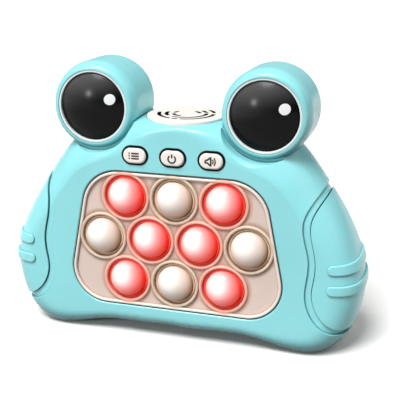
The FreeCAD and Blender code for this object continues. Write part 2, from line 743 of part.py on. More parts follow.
def circuit_board():
    """Main board, with ears at its screws and a tab up behind the buttons."""
    near, far = BOARD_FACE, BOARD_FACE + BOARD_THICK
    tab = box(-21.5, 21.5, near, far, 60, 87.6)
    corners = [e for e in tab.Edges if abs(e.tangentAt(e.FirstParameter).y) > 0.9]
    tab = tab.makeFillet(2.0, corners)
    board = prism(panel_outline(1.0), near, far)
    ears = [cylinder(4.2, x, z, near, far) for x, z in board_posts()]
    bridges = [box(-52, 52, near, far, 30.5, 37.5), box(-42, 42, near, far, 71, 78)]
    board = joined([board, tab] + ears + bridges).removeSplitter()
    return board.cut([cylinder(1.3, x, z, 0, 20) for x, z in board_posts()])


def leds():
    """Ten small lamps, one inside each bubble, above its stem."""
    group = []
    for x, z in dome_places():
        body = box(x - 1.75, x + 1.75, BOARD_FACE - 0.7, BOARD_FACE, z + 3.5, z + 6.3)
        lens = cylinder(1.15, x, z + 4.9, BOARD_FACE - 1.1, BOARD_FACE - 0.7)
        group.append(body.fuse(lens))
    return Part.makeCompound(group)


def button_switches():
    """Three push switches on the board, one behind each button."""
    group = []
    for x in BUTTON_X:
        front = PLUNGER_TIP + 0.5
        can = box(x - 3, x + 3, front, BOARD_FACE, BUTTON_Z - 3, BUTTON_Z + 3)
        edges = [e for e in can.Edges if abs(e.tangentAt(e.FirstParameter).y) > 0.9]
        can = can.makeFillet(0.5, edges)
        plunger = cylinder(1.7, x, BUTTON_Z, PLUNGER_TIP, front)
        group.append(can.fuse(plunger))
    return Part.makeCompound(group)


def push_button(x):
    """One cream button: rounded cap, and a flange behind the face that keeps it in."""
    near, far = FLANGE_DEPTH
    cap = prism(oblong(*BUTTON_SIZE, x, BUTTON_Z), -BUTTON_PROUD, far - 0.1)
    crown = [e for e in cap.Edges if e.BoundBox.YMax < -BUTTON_PROUD + 0.01]
    cap = cap.makeFillet(BUTTON_ROUND, crown)
    return cap.fuse(prism(oblong(*BUTTON_FLANGE, x, BUTTON_Z), near, far))


def speaker_driver():
    """Small loudspeaker facing up: rim, basket, magnet and a dished cone."""
    half = [(0, -1.8), (3.6, -1.8), (4.2, -3.2), (10.0, -0.9), (10.9, 0), (SPEAKER_R, 0), (SPEAKER_R, -1.4),
            (11.2, -1.4), (8.2, -4.6), (6.9, -4.6), (6.9, -7.0), (0, -7.0)]
    points = [Vector(r, 0, SPEAKER_TOP + z) for r, z in half + half[:1]]
    face = Part.Face(Part.makePolygon(points))
    body = face.revolve(Vector(0, 0, 0), Vector(0, 0, 1), 360)
    body.translate(Vector(0, PARTING, 0))
    return body


def speaker_clamp():
    """Snap ring that holds the loudspeaker up in its collar."""
    low = SPEAKER_TOP - 1.4 - 1.5
    ring = Part.makeCylinder(COLLAR_R[0] - 0.05, 1.5, Vector(0, PARTING, low))
    return ring.cut(Part.makeCylinder(11.3, 1.5, Vector(0, PARTING, low)))


def cell_places():
    """Middles of the three cells, left to right, with the way that each one points."""
    return [(k * CELL_PITCH, 1 if k % 2 == 0 else -1) for k in (-1, 0, 1)]


def battery_cell(x, up):
    """One AA cell, standing, with its button end up or down."""
    low = BAY_Z[0] + (1.7 if up < 0 else BAY_Z[1] - BAY_Z[0] - CELL_LENGTH - 1.7)
    half = [(0, 0), (CELL_R - 0.8, 0), (CELL_R, 0.8), (CELL_R, 48.2), (CELL_R - 1.0, 49.3),
            (2.75, 49.3), (2.75, CELL_LENGTH), (0, CELL_LENGTH)]
    face = Part.Face(Part.makePolygon([Vector(r, 0, z) for r, z in half + half[:1]]))
    cell = face.revolve(Vector(0, 0, 0), Vector(0, 0, 1), 360)
    if up < 0:
        cell.rotate(Vector(0, 0, CELL_LENGTH / 2), Vector(0, 1, 0), 180)
    cell.translate(Vector(x, CELL_DEPTH, low))
    return cell


def battery_springs():
    """Coned contact springs at the flat end of each cell, each with its base plate."""
    group = []
    for x, up in cell_places():
        end = BAY_Z[0] if up > 0 else BAY_Z[1]
        group.append(cell_spring(x, end, up))
    return Part.makeCompound(group)


def cell_spring(x, end, up):
    """One spring: a base plate and a coned coil, drawn as a solid cone pressed to the cell."""
    gap = BAY_Z[1] - BAY_Z[0] - CELL_LENGTH - 1.7
    across, deep = CONTACT_HALF
    spring = Part.makeCone(4.6, 2.6, gap).fuse(box(-across, across, -deep, deep, 0, CONTACT_THICK))
    if up < 0:
        spring.rotate(Vector(0, 0, 0), Vector(0, 1, 0), 180)
    spring.translate(Vector(x, CELL_DEPTH, end))
    return spring


def battery_plates():
    """Flat contacts at the button end of each cell."""
    group = []
    across, deep = CONTACT_HALF
    for x, up in cell_places():
        z0 = BAY_Z[1] - CONTACT_THICK if up > 0 else BAY_Z[0]
        plate = box(x - across, x + across, CELL_DEPTH - deep, CELL_DEPTH + deep, z0, z0 + CONTACT_THICK)
        pip_z = z0 + CONTACT_THICK if up < 0 else z0 - 1.3
        pip = Part.makeCylinder(2.0, 1.3, Vector(x, CELL_DEPTH, pip_z))
        group.append(plate.fuse(pip))
    return Part.makeCompound(group)


def case_screws():
    """Six screws that hold the two shells together, as one group."""
    group = []
    for x, z, start in case_bosses():
        length = 12.0 if start < EYE_SEAT_FLOOR else 10.0
        group.append(screw(x, z, HEAD_SEAT, HEAD_R, 2.1, SCREW_R, length))
    return Part.makeCompound(group)


def board_screws():
    """Four small screws that hold the circuit board, as one group."""
    far = BOARD_FACE + BOARD_THICK
    return Part.makeCompound([screw(x, z, far, 2.2, 1.5, 1.1, 6.0) for x, z in board_posts()])


def write(name, shape):
    """One node: moved so that the toy's box is centred, and written as a STEP file."""
    placed = shape.translated(Vector(0, FRONT_Y, 0))
    placed.exportStep(os.path.join("parts", name + ".step"))
    state = "valid" if placed.isValid() else "NOT VALID"
    print(f"{name:20s} {state:9s} solids {len(placed.Solids)}  volume {placed.Volume:9.1f} mm3")


def main():
    """Builds every node of the toy."""
    os.makedirs("parts", exist_ok=True)
    recess = grip_recess()
    write("front_shell", front_shell(recess))
    write("rear_shell", rear_shell(recess))
    right = grip()
    write("right_grip", right)
    write("left_grip", mirrored(right))
    write("speaker_grille", speaker_grille())
    write("speaker_cloth", speaker_cloth())
    for side, place in zip(("left", "right"), at_eyes(eye_dome())):
        write(side + "_eye_dome", place)
    for side, place in zip(("left", "right"), at_eyes(eye_ring())):
        write(side + "_eye_ring", place)
    write("bubble_mat", bubble_mat())
    bubble = bubble_dome()
    for number, (x, z) in enumerate(dome_places(), 1):
        write(f"bubble_{number:02d}", bubble.translated(Vector(x, 0, z)))
    write("support_plate", support_plate())
    write("circuit_board", circuit_board())
    write("leds", leds())
    write("button_switches", button_switches())
    for name, x in zip(BUTTON_NAMES, BUTTON_X):
        write(name, push_button(x))
    write("speaker_driver", speaker_driver())
    write("speaker_clamp", speaker_clamp())
    for number, (x, up) in enumerate(cell_places(), 1):
        write(f"battery_{number}", battery_cell(x, up))
    write("battery_springs", battery_springs())
    write("battery_plates", battery_plates())
    write("battery_door", battery_door())
    write("battery_door_screw", screw(0, DOOR_SCREW_Z, BODY_DEPTH - 1.2, 2.6, 1.1, 1.1, 3.6))
    write("case_screws", case_screws())
    write("board_screws", board_screws())


if __name__ == "__main__":
    main()
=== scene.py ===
"""Looks of the frog-shaped bubble popping toy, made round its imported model.

Every surface is in metres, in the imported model's own frame: +X to the viewer's right, +Y away
from the viewer, +Z up, with the origin on the ground under the toy.
"""

import json
import math

import bmesh
import bpy
import numpy as np
from bpy.props import FloatProperty, FloatVectorProperty, IntProperty, PointerProperty
from mathutils import Matrix, Vector


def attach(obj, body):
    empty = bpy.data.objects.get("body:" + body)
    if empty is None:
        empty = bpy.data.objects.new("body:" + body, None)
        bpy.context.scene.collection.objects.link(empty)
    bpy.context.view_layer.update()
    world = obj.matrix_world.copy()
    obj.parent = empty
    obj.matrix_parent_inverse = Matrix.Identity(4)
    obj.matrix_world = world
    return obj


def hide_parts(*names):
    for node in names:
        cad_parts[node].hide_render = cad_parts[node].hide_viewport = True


bl_info = {
    "name": "Frog bubble popping toy",
    "version": (1, 0, 0),
    "blender": (4, 5, 0),
    "location": "View3D > Sidebar > Frog toy",
    "description": "Builds the looks of a frog-shaped bubble popping toy round its packed model",
    "category": "Object",
}

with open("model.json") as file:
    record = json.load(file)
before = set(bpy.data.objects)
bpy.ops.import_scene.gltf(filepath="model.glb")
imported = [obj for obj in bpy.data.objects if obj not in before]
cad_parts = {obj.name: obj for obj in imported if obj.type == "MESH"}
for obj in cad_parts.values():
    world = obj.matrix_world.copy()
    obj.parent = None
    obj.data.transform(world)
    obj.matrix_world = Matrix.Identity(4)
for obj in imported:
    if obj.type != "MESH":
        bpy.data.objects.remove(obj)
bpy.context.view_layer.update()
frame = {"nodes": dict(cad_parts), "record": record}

MM = 0.001
FACE_Y = -17.85
PANEL_Z = 46.3
PITCH = 22.0
ROW_PITCH = PITCH * math.sqrt(3) / 2
EYE_X = 37.65
EYE_Z = 103.0
BUTTON_X = {"menu_button": -16.84, "power_button": 0.0, "volume_button": 16.84}
BUTTON_Z = 84.1
BUTTON_FACE = FACE_Y - 1.3
WELL_SIDE = 1.75
WELL_R = 4.1
GRILLE_Y = 1.65
GRILLE_TOP = 99.4
SLOTS_R = 14.0
CELLS_Y = 11.05
CELL_PITCH = 15.0
CONTACT_SIDE = 5.5
CONTACT_RISE = 5.0
BAY_ENDS = (19.0, 73.0)
DOME_R = 8.0
RIM_R = 10.95
WELL_FOOT_R = 9.55
EYE_R = 14.65
EYE_DOT = (8.7, 3.75)
LIT = ("bubble_01", "bubble_03", "bubble_05", "bubble_06", "bubble_08", "bubble_10")
FLOOR_SIZE = 12.0
FLOOR_STEPS = 24
CAMERA_TARGET = (11.9, FACE_Y, 66.9)
CAMERA_ANGLES = (17.02, 17.02, -0.08)
CAMERA_DISTANCE = 0.365
LIGHT_TARGET = (0.0, 0.0, 90.0)


class FrogColours(bpy.types.PropertyGroup):
    """Colours of the toy's outer parts."""

    shell: FloatVectorProperty(
        name="Housing", description="Main colour of the moulded housing",
        subtype="COLOR", size=3, min=0, max=1, default=(0.265, 0.675, 0.705))
    grip: FloatVectorProperty(
        name="Grips", description="Colour of the grip covers",
        subtype="COLOR", size=3, min=0, max=1, default=(0.265, 0.675, 0.705))
    cream: FloatVectorProperty(
        name="Cream plastic", description="Colour of the buttons and the speaker grille",
        subtype="COLOR", size=3, min=0, max=1, default=(0.86, 0.80, 0.74))
    mat: FloatVectorProperty(
        name="Bubble mat", description="Colour of the soft mat round the bubbles",
        subtype="COLOR", size=3, min=0, max=1, default=(0.68, 0.55, 0.485))
    bubble: FloatVectorProperty(
        name="Plain bubbles", description="Colour at the crown of a bubble whose lamp is off",
        subtype="COLOR", size=3, min=0, max=1, default=(0.93, 0.89, 0.83))
    glow: FloatVectorProperty(
        name="Lamp light", description="Colour that a lit lamp gives to its bubble",
        subtype="COLOR", size=3, min=0, max=1, default=(0.85, 0.02, 0.007))


class FrogSizes(bpy.types.PropertyGroup):
    """Sizes that a user may change."""

    eye_dot: FloatProperty(
        name="Eye dot", description="Radius of the white dot printed on an eye",
        unit="LENGTH", default=2.28 * MM, min=0.0, max=6 * MM)
    sign_line: FloatProperty(
        name="Sign line", description="Width of the lines of the signs on the buttons",
        unit="LENGTH", default=0.74 * MM, min=0.2 * MM, max=1 * MM)
    grain: FloatProperty(
        name="Grain depth", description="Depth of the fine grain moulded into the plastic",
        unit="LENGTH", default=0.01 * MM, min=0.0, max=0.2 * MM)
    rounds: IntProperty(
        name="Turning steps", description="Steps round a bubble or an eye",
        default=96, min=24, max=256)


class FrogStage(bpy.types.PropertyGroup):
    """Light, floor and camera."""

    key: FloatProperty(name="Key light", description="Strength of the main light",
                       default=3.65, min=0, max=10)
    fill: FloatProperty(name="Fill light", description="Strength of the softer light from the right",
                        default=0.6, min=0, max=10)
    sky: FloatProperty(name="Room light", description="Strength of the even light of the room",
                       default=0.30, min=0, max=3)
    floor: FloatVectorProperty(
        name="Floor", description="Colour of the floor",
        subtype="COLOR", size=3, min=0, max=1, default=(0.90, 0.895, 0.88))
    lens: FloatProperty(name="Lens", description="Focal length in millimetres on a 36 mm sensor",
                        default=78.3, min=10, max=300)


def grid_quads(grid):
    """Quads of a grid of points that joins up along its second axis, facing away from its inside.

    The space inside is a sixth of the sum of a . (b x c) over the triangles, and the quads are
    turned round where that is negative.
    """
    rows, columns = grid.shape[:2]
    k, j = np.meshgrid(np.arange(rows - 1), np.arange(columns), indexing="ij")
    beside = (j + 1) % columns
    corners = (k * columns + j, k * columns + beside, (k + 1) * columns + beside, (k + 1) * columns + j)
    quads = np.stack(corners, axis=-1).reshape(-1, 4)
    a, b, c, d = (grid.reshape(-1, 3)[quads[:, n]] for n in range(4))
    inside = np.einsum("ij,ij->", a, np.cross(b, c)) + np.einsum("ij,ij->", a, np.cross(c, d))
    return quads[:, ::-1] if inside < 0 else quads


def piece(name, grids, body, material, nodes=(), centre=(0.0, 0.0)):
    """A piece made of closed grids of points in millimetres.

    Each grid's first and last rows shrink to a point or meet each other, and that closes it. The
    UV map "local" holds each point's x and z from a centre, in metres.
    """
    quads, count = [], 0
    for grid in grids:
        quads.append(grid_quads(grid) + count)
        count += grid.shape[0] * grid.shape[1]
    points = np.vstack([grid.reshape(-1, 3) for grid in grids])
    mesh = bpy.data.meshes.new(name)
    mesh.from_pydata((points * MM).tolist(), [], np.vstack(quads).tolist())
    corner = np.empty(len(mesh.loops), dtype=np.int32)
    mesh.loops.foreach_get("vertex_index", corner)
    flat = ((points[:, [0, 2]] - centre) * MM).astype(np.float32)
    mesh.uv_layers.new(name="local").data.foreach_set("uv", flat[corner].ravel())
    tidy_mesh(mesh)
    return place(name, mesh, body, material, nodes)


def tidy_mesh(mesh, angle=35.0):
    """Merges doubled points, drops faces without area, and shades smooth up to sharp edges."""
    bm = bmesh.new()
    bm.from_mesh(mesh)
    bmesh.ops.remove_doubles(bm, verts=bm.verts, dist=2e-6)
    bmesh.ops.dissolve_degenerate(bm, edges=bm.edges, dist=1e-7)
    sharp = math.radians(angle)
    for edge in bm.edges:
        edge.smooth = edge.is_manifold and edge.calc_face_angle(0.0) < sharp
    for face in bm.faces:
        face.smooth = True
    bm.to_mesh(mesh)
    bm.free()


def place(name, mesh, body, material, nodes=()):
    """Puts a mesh into the scene as a piece that rides on a body."""
    obj = bpy.data.objects.new(name, mesh)
    bpy.context.scene.collection.objects.link(obj)
    mesh.materials.clear()
    mesh.materials.append(material)
    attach(obj, body)
    if nodes:
        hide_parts(*nodes)
    return obj


def dressed(node, body, material, angle=35.0):
    """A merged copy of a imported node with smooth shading, standing in for the node."""
    mesh = frame["nodes"][node].data.copy()
    mesh.name = node + "_skin"
    tidy_mesh(mesh, angle)
    obj = place(node + "_skin", mesh, body, material, [node])
    weigh = obj.modifiers.new("Weighted normals", "WEIGHTED_NORMAL")
    weigh.keep_sharp = True
    weigh.weight = 50
    return obj


def arc(centre, radius, start, end, steps):
    """Points on a circular arc: centre + radius (cos t, sin t), t in degrees from start to end."""
    t = np.radians(np.linspace(start, end, steps))
    return np.c_[centre[0] + radius * np.cos(t), centre[1] + radius * np.sin(t)]


def lathe(profile, steps, x, z):
    """A profile of (radius, y) turned about the Y line through x, z: r cos a, y, r sin a."""
    profile = np.asarray(profile, dtype=float)
    turn = np.linspace(0, 2 * np.pi, steps, endpoint=False)
    r, y = profile[:, 0, None], profile[:, 1, None]
    return np.stack((x + r * np.cos(turn), y + 0 * turn, z + r * np.sin(turn)), axis=-1)


def tube(path, radius, sides, guide):
    """A round rod along a path: path + radius (cos a * side + sin a * up), square to the path.

    The guide is a direction that the path never follows, and the rod's ends shrink to a point.
    """
    along = np.gradient(path, axis=0)
    along /= np.linalg.norm(along, axis=1)[:, None]
    side = np.cross(along, guide)
    side /= np.linalg.norm(side, axis=1)[:, None]
    up = np.cross(side, along)
    a = np.linspace(0, 2 * np.pi, sides, endpoint=False)[None, :, None]
    reach = np.full((len(path), 1, 1), radius)
    reach[[0, -1]] = 0.0
    return path[:, None, :] + reach * (np.cos(a) * side[:, None, :] + np.sin(a) * up[:, None, :])


def strip(path, width, low, high):
    """A raised line: a flattened half-round section carried along a flat path in x and z.

    At the angle a round the section the side reach is cos a, and the height the square root of
    sin a, from low at the edges to high in the middle. Its underside dips a tenth of that. The two
    ends narrow as the square root of 1 - (1 - e)^2, down to a point.
    """
    along = np.gradient(path, axis=0)
    along /= np.linalg.norm(along, axis=1)[:, None]
    side = np.c_[-along[:, 1], along[:, 0]]
    way = np.r_[0, np.cumsum(np.linalg.norm(np.diff(path, axis=0), axis=1))]
    near_tip = np.clip(np.minimum(way, way[-1] - way) / (width / 2), 0, 1)
    narrow = np.sqrt(1 - (1 - near_tip) ** 2)[:, None]
    a = np.linspace(0, 2 * np.pi, 14, endpoint=False)
    across = side[:, None, :] * (np.cos(a) * narrow)[..., None] * width / 2
    flat = path[:, None, :] + across
    lift = np.where(np.sin(a) > 0, np.sqrt(np.abs(np.sin(a))), 0.1 * np.sin(a))
    rise = low + (high - low) * lift * narrow
    return np.stack((flat[..., 0], rise, flat[..., 1]), axis=-1)


def plate(outline, centre, low, high):
    """A flat plate with a rounded edge, as rings of its outline drawn in towards a centre.

    Ring k lies at share q of the way from the centre to the outline. The first three rings are the
    flat top, the next three the rounded edge, and the last one closes the underside.
    """
    outline, centre = np.asarray(outline, dtype=float), np.asarray(centre, dtype=float)
    q = np.array([0.0, 0.5, 0.85, 0.95, 1.0, 1.0, 0.0])
    rise = np.array([1.0, 1.0, 1.0, 0.8, 0.3, -0.05, -0.05])
    flat = centre + q[:, None, None] * (outline[None] - centre)
    y = np.broadcast_to((low + (high - low) * rise)[:, None], flat.shape[:2])
    return np.stack((flat[..., 0], y, flat[..., 1]), axis=-1)


def along_sides(corners, steps):
    """Points at even steps along the sides of a closed outline, each corner included."""
    corners = np.asarray(corners, dtype=float)
    share = np.linspace(0, 1, steps, endpoint=False)[:, None]
    return np.vstack([a + (b - a) * share for a, b in zip(corners, np.roll(corners, -1, axis=0))])


class Tree:
    """Short forms for adding nodes and links to one node tree."""

    def __init__(self, tree):
        self.tree = tree
        tree.nodes.clear()

    def add(self, kind, options=None, **inputs):
        node = self.tree.nodes.new(kind)
        for key, value in (options or {}).items():
            setattr(node, key, value)
        for key, value in inputs.items():
            self.feed(node.inputs[key.replace("_", " ")], value)
        return node

    def feed(self, socket, value):
        if isinstance(value, bpy.types.NodeSocket):
            self.tree.links.new(value, socket)
        elif isinstance(value, (tuple, list)) or hasattr(value, "__len__"):
            value = tuple(value)
            socket.default_value = value if len(value) == len(socket.default_value) else value + (1.0,)
        else:
            socket.default_value = value

    def maths(self, operation, a, b=0.0, c=0.0):
        node = self.tree.nodes.new("ShaderNodeMath")
        node.operation = operation
        for socket, value in zip(node.inputs, (a, b, c)):
            self.feed(socket, value)
        return node.outputs[0]

    def mix(self, share, a, b):
        node = self.tree.nodes.new("ShaderNodeMix")
        node.data_type = "RGBA"
        self.feed(node.inputs[0], share)
        self.feed(node.inputs[6], a)
        self.feed(node.inputs[7], b)
        return node.outputs[2]

    def ramp(self, value, stops):
        node = self.tree.nodes.new("ShaderNodeValToRGB")
        elements = node.color_ramp.elements
        while len(elements) < len(stops):
            elements.new(0.5)
        for element, (position, colour) in zip(elements, stops):
            element.position = position
            element.color = tuple(colour) + (1.0,)
        self.feed(node.inputs[0], value)
        return node.outputs[0]

    def span(self, value, low, high, out_low, out_high):
        """A smooth step of a value from one range to another."""
        node = self.tree.nodes.new("ShaderNodeMapRange")
        node.interpolation_type = "SMOOTHSTEP"
        for key, number in zip(("Value", "From Min", "From Max", "To Min", "To Max"),
                               (value, low, high, out_low, out_high)):
            self.feed(node.inputs[key], number)
        return node.outputs[0]

    def noise(self, vector, scale, detail=2.0, rough=0.5):
        node = self.add("ShaderNodeTexNoise", None, Vector=vector, Scale=scale, Detail=detail,
                        Roughness=rough)
        return node.outputs["Fac"]

    def reach(self, vector, x, z):
        """Distance of a place in x and z, as a flat map gives it, from a point in millimetres."""
        node = self.add("ShaderNodeVectorMath", {"operation": "DISTANCE"})
        self.feed(node.inputs[0], vector)
        self.feed(node.inputs[1], (x * MM, z * MM, 0.0))
        return node.outputs["Value"]

    def split(self, vector):
        """The three numbers of a vector."""
        node = self.add("ShaderNodeSeparateXYZ")
        self.feed(node.inputs[0], vector)
        return node.outputs[0], node.outputs[1], node.outputs[2]

    def flat(self, vector):
        """The x and z of a place, as a flat map."""
        x, _, z = self.split(vector)
        return self.add("ShaderNodeCombineXYZ", None, X=x, Y=z).outputs[0]

    def group(self, name, **inputs):
        node = self.tree.nodes.new("ShaderNodeGroup")
        node.node_tree = bpy.data.node_groups[name]
        for key, value in inputs.items():
            self.feed(node.inputs[key], value)
        return node


def new_group(name, inputs, outputs):
    """An empty node group with named sockets, and its input and output nodes."""
    tree = bpy.data.node_groups.new(name, "ShaderNodeTree")
    kinds = {"vector": "NodeSocketVector", "value": "NodeSocketFloat", "colour": "NodeSocketColor"}
    for key, kind in inputs:
        tree.interface.new_socket(key, in_out="INPUT", socket_type=kinds[kind])
    for key, kind in outputs:
        tree.interface.new_socket(key, in_out="OUTPUT", socket_type=kinds[kind])
    t = Tree(tree)
    return t, tree.nodes.new("NodeGroupInput").outputs, tree.nodes.new("NodeGroupOutput").inputs


def moulded_group():
    """Moulded surface: fine grain and waviness as a height, and slow changes of tone and of rub."""
    t, given, result = new_group(
        "Moulded surface", [("Place", "vector"), ("Grain", "value"), ("Wave", "value")],
        [("Height", "value"), ("Tone", "value"), ("Rub", "value")])
    grain = t.noise(given["Place"], given["Grain"], 3.0, 0.6)
    wave = t.noise(given["Place"], given["Wave"], 1.0, 0.4)
    t.feed(result["Height"], t.maths("MULTIPLY_ADD", wave, 0.6, grain))
    t.feed(result["Tone"], t.span(t.noise(given["Place"], 28.0, 2.0, 0.5), 0.3, 0.7, 0.0, 1.0))
    rub = t.noise(given["Place"], 60.0, 1.0, 0.4)
    t.feed(result["Rub"], t.span(rub, 0.2, 0.8, 0.0, 1.0))


def place_output(t):
    """The object's own coordinates."""
    return t.tree.nodes.new("ShaderNodeTexCoord").outputs["Object"]


def start(name):
    """A new material with an empty tree."""
    material = bpy.data.materials.new(name)
    material.use_nodes = True
    return material, Tree(material.node_tree)


def end(t, **inputs):
    """Principled shader and output for a tree."""
    shader = t.tree.nodes.new("ShaderNodeBsdfPrincipled")
    for key, value in inputs.items():
        t.feed(shader.inputs[key.replace("_", " ")], value)
    out = t.tree.nodes.new("ShaderNodeOutputMaterial")
    t.tree.links.new(shader.outputs[0], out.inputs["Surface"])


def bump(t, height, depth, soft=None):
    """A normal from a height, for a relief of the given depth, over edges rounded by soft."""
    node = t.add("ShaderNodeBump", None, Height=height, Distance=depth, Strength=1.0)
    if soft:
        edges = t.add("ShaderNodeBevel", {"samples": 6}, Radius=soft * MM)
        t.feed(node.inputs["Normal"], edges.outputs[0])
    return node.outputs["Normal"]


def painted_crease_shade(t, colour, dark, reach):
    """A colour that turns dark where other surfaces stand close by, as in gaps and below steps: painted
    shade.
    """
    near = t.add("ShaderNodeAmbientOcclusion", {"samples": 8}, Distance=reach * MM)
    return t.mix(t.span(near.outputs["AO"], 0.30, 0.90, 0.0, 1.0), dark, colour)


def shades(colour, *factors):
    """A colour and darker or paler shades of it, none over 1."""
    return [tuple(np.minimum(np.array(colour[:3]) * factor, 1.0)) for factor in factors]


def plastic(name, colour, rough, grain=2600.0, contrast=0.025, depth=None, soft=None, gaps=None,
            gloss=0.5, shade=None):
    """Moulded plastic: its colour wanders a little, and rubbed patches are smoother.

    Gaps are a dark colour and a reach in millimetres, for painted shade: the colour turns dark in narrow
    gaps and below steps. Shade is a function that lays painted shade over the piece's colour.
    """
    material, t = start(name)
    surface = t.group("Moulded surface", Place=place_output(t), Grain=grain, Wave=160.0)
    deep, pale = shades(colour, 1 - contrast, 1 + contrast)
    base = t.mix(surface.outputs["Tone"], deep, pale)
    if gaps:
        base = painted_crease_shade(t, base, *gaps)
    if shade:
        base = shade(t, base)
    roughness = t.span(surface.outputs["Rub"], 0.0, 1.0, rough + 0.02, rough - 0.02)
    depth = settings().sizes.grain if depth is None else depth
    end(t, Base_Color=base, Roughness=roughness, Specular_IOR_Level=gloss,
        Normal=bump(t, surface.outputs["Height"], depth, soft))
    return material


def housing_painted_shade(t, base):
    """Housing colour with painted shade: a dark line round each button, and deeper underneath and near the
    ground.

    The distance from a button's middle line is the length of (|x| - half its straight side, z). The
    underside is where the surface's own direction points down.
    """
    x, y, z = t.split(place_output(t))
    # Painted shade: a dark line round each button, where its well lies in shadow.
    dark = 0.0
    for centre in BUTTON_X.values():
        side = t.maths("ABSOLUTE", t.maths("SUBTRACT", x, centre * MM))
        beyond = t.maths("MAXIMUM", t.maths("SUBTRACT", side, WELL_SIDE * MM), 0.0)
        rise = t.maths("SUBTRACT", z, BUTTON_Z * MM)
        away = t.maths("SQRT", t.maths("ADD", t.maths("POWER", beyond, 2.0), t.maths("POWER", rise, 2.0)))
        dark = t.maths("MAXIMUM", dark, t.span(away, (WELL_R + 0.12) * MM, (WELL_R + 0.42) * MM, 1.0, 0.0))
    front = t.span(y, 0.0, 2 * MM, 1.0, 0.0)
    line, deep = (0.006, 0.03, 0.036), (0.045, 0.20, 0.22)
    lined = t.mix(t.maths("MULTIPLY", dark, front), base, line)
    # Painted shade: darker near the ground and where the surface faces down.
    grounded = t.mix(t.span(z, 0.0, 10 * MM, 0.7, 0.0), lined, deep)
    upward = t.split(t.tree.nodes.new("ShaderNodeNewGeometry").outputs["Normal"])[2]
    return t.mix(t.span(upward, -0.85, 0.0, 0.8, 0.0), grounded, deep)


def button_foot_painted_shadow(t, base):
    """Button colour with a painted shadow: dark at the foot of its wall, inside the well."""
    y = t.split(place_output(t))[1]
    # Painted shadow at the foot of the button's wall, inside its well.
    foot = t.span(y, (BUTTON_FACE + 0.7) * MM, (BUTTON_FACE + 1.1) * MM, 0.0, 1.0)
    shadow = (0.03, 0.03, 0.028)
    return t.mix(foot, base, shadow)


def local(t):
    """The turned piece's own map: x and z from its axis, in metres."""
    return t.add("ShaderNodeUVMap", {"uv_map": "local"}).outputs[0]


def grille_material():
    """Cream plastic of the grille, with painted shade: black on the walls inside its slots."""
    material, t = start("Cream grille")
    where = place_output(t)
    surface = t.group("Moulded surface", Place=where, Grain=2200.0, Wave=160.0)
    x, y, z = t.split(where)
    middle = t.add("ShaderNodeCombineXYZ", None, X=x, Y=y).outputs[0]
    # Painted shade: the walls inside the slots are coloured black.
    inner = t.span(t.reach(middle, 0.0, GRILLE_Y), (SLOTS_R - 0.2) * MM, (SLOTS_R + 0.2) * MM, 1.0, 0.0)
    below = t.span(z, (GRILLE_TOP - 0.12) * MM, (GRILLE_TOP - 0.04) * MM, 1.0, 0.0)
    deep, pale = shades(settings().colours.cream, 0.97, 1.01)
    cream = t.mix(surface.outputs["Tone"], deep, pale)
    black = (0.012, 0.011, 0.01)
    base = t.mix(t.maths("MULTIPLY", inner, below), cream, black)
    end(t, Base_Color=base, Roughness=t.span(surface.outputs["Rub"], 0.0, 1.0, 0.42, 0.32),
        Normal=bump(t, surface.outputs["Height"], settings().sizes.grain))
    return material


def bubble_material(name, stops, centre, reach, edge, glow):
    """Soft translucent dome: a round of pale tone up and to the left as a painted highlight, painted shade
    deeper towards its skirt.

    The tone follows the distance from a centre off the dome's axis, as a share of a reach, or the
    nearness to the dome's edge, up to the share called edge, where that is more.
    """
    material, t = start(name)
    surface = t.group("Moulded surface", Place=place_output(t), Grain=1500.0, Wave=220.0)
    # Painted light and shade: pale round a centre up and to the left, deeper towards the skirt.
    away = t.maths("DIVIDE", t.reach(local(t), *centre), reach * MM)
    near_edge = t.span(t.reach(local(t), 0.0, 0.0), (DOME_R - 1.7) * MM, DOME_R * MM, 0.0, edge)
    tone = t.ramp(t.maths("MAXIMUM", away, near_edge), stops)
    base = t.mix(t.maths("MULTIPLY", surface.outputs["Tone"], 0.05), tone, stops[-2][1])
    inputs = {"Emission_Color": tone, "Emission_Strength": glow} if glow else {}
    end(t, Base_Color=base, Roughness=t.span(surface.outputs["Rub"], 0.0, 1.0, 0.42, 0.32),
        Normal=bump(t, surface.outputs["Height"], 0.012 * MM), **inputs)
    return material


def falling(colour, stops):
    """Ramp stops from rows of a position and the share of a colour's red, green and blue there."""
    return [(position, tuple(np.minimum(np.multiply(colour[:3], share), 1.0))) for position, share in stops]


def plain_bubble():
    """Bubble whose lamp is off, with painted light and shade in its tone."""
    # Painted highlight at the crown, painted shade towards the skirt.
    stops = falling(settings().colours.bubble, (
        (0.0, (1.0, 1.0, 1.0)),
        (0.27, (0.98, 0.98, 0.98)),
        (0.40, (0.90, 0.87, 0.86)),
        (0.56, (0.84, 0.74, 0.70)),
        (0.72, (0.79, 0.65, 0.58)),
        (0.85, (0.70, 0.53, 0.42)),
        (0.95, (0.52, 0.37, 0.25)),
        (1.0, (0.42, 0.29, 0.18))))
    return bubble_material("Plain bubble", stops, centre=(-1.7, 2.1), reach=11.0, edge=0.60, glow=0.0)


def lit_bubble():
    """Bubble lit by the lamp inside, with a painted highlight: white where the lamp shines through, its
    colour at the skirt.

    Each row is a position and the white light added to the lamp's green and blue there. Its red
    rises evenly from the skirt to the crown.
    """
    red, green, blue = settings().colours.glow[:3]
    crown_red = 0.94
    # The white is partly the lamp's light and partly a painted highlight, as its centre sits up and to the
    # left.
    rows = ((0.0, 0.90), (0.28, 0.66), (0.42, 0.48), (0.61, 0.25), (0.77, 0.125), (0.89, 0.045), (1.0, 0.0))
    stops = [(position, (red + (crown_red - red) * (1 - position), green + white, blue + white))
             for position, white in rows]
    return bubble_material("Lit bubble", stops, centre=(-1.9, 2.2), reach=10.4, edge=0.42, glow=0.30)


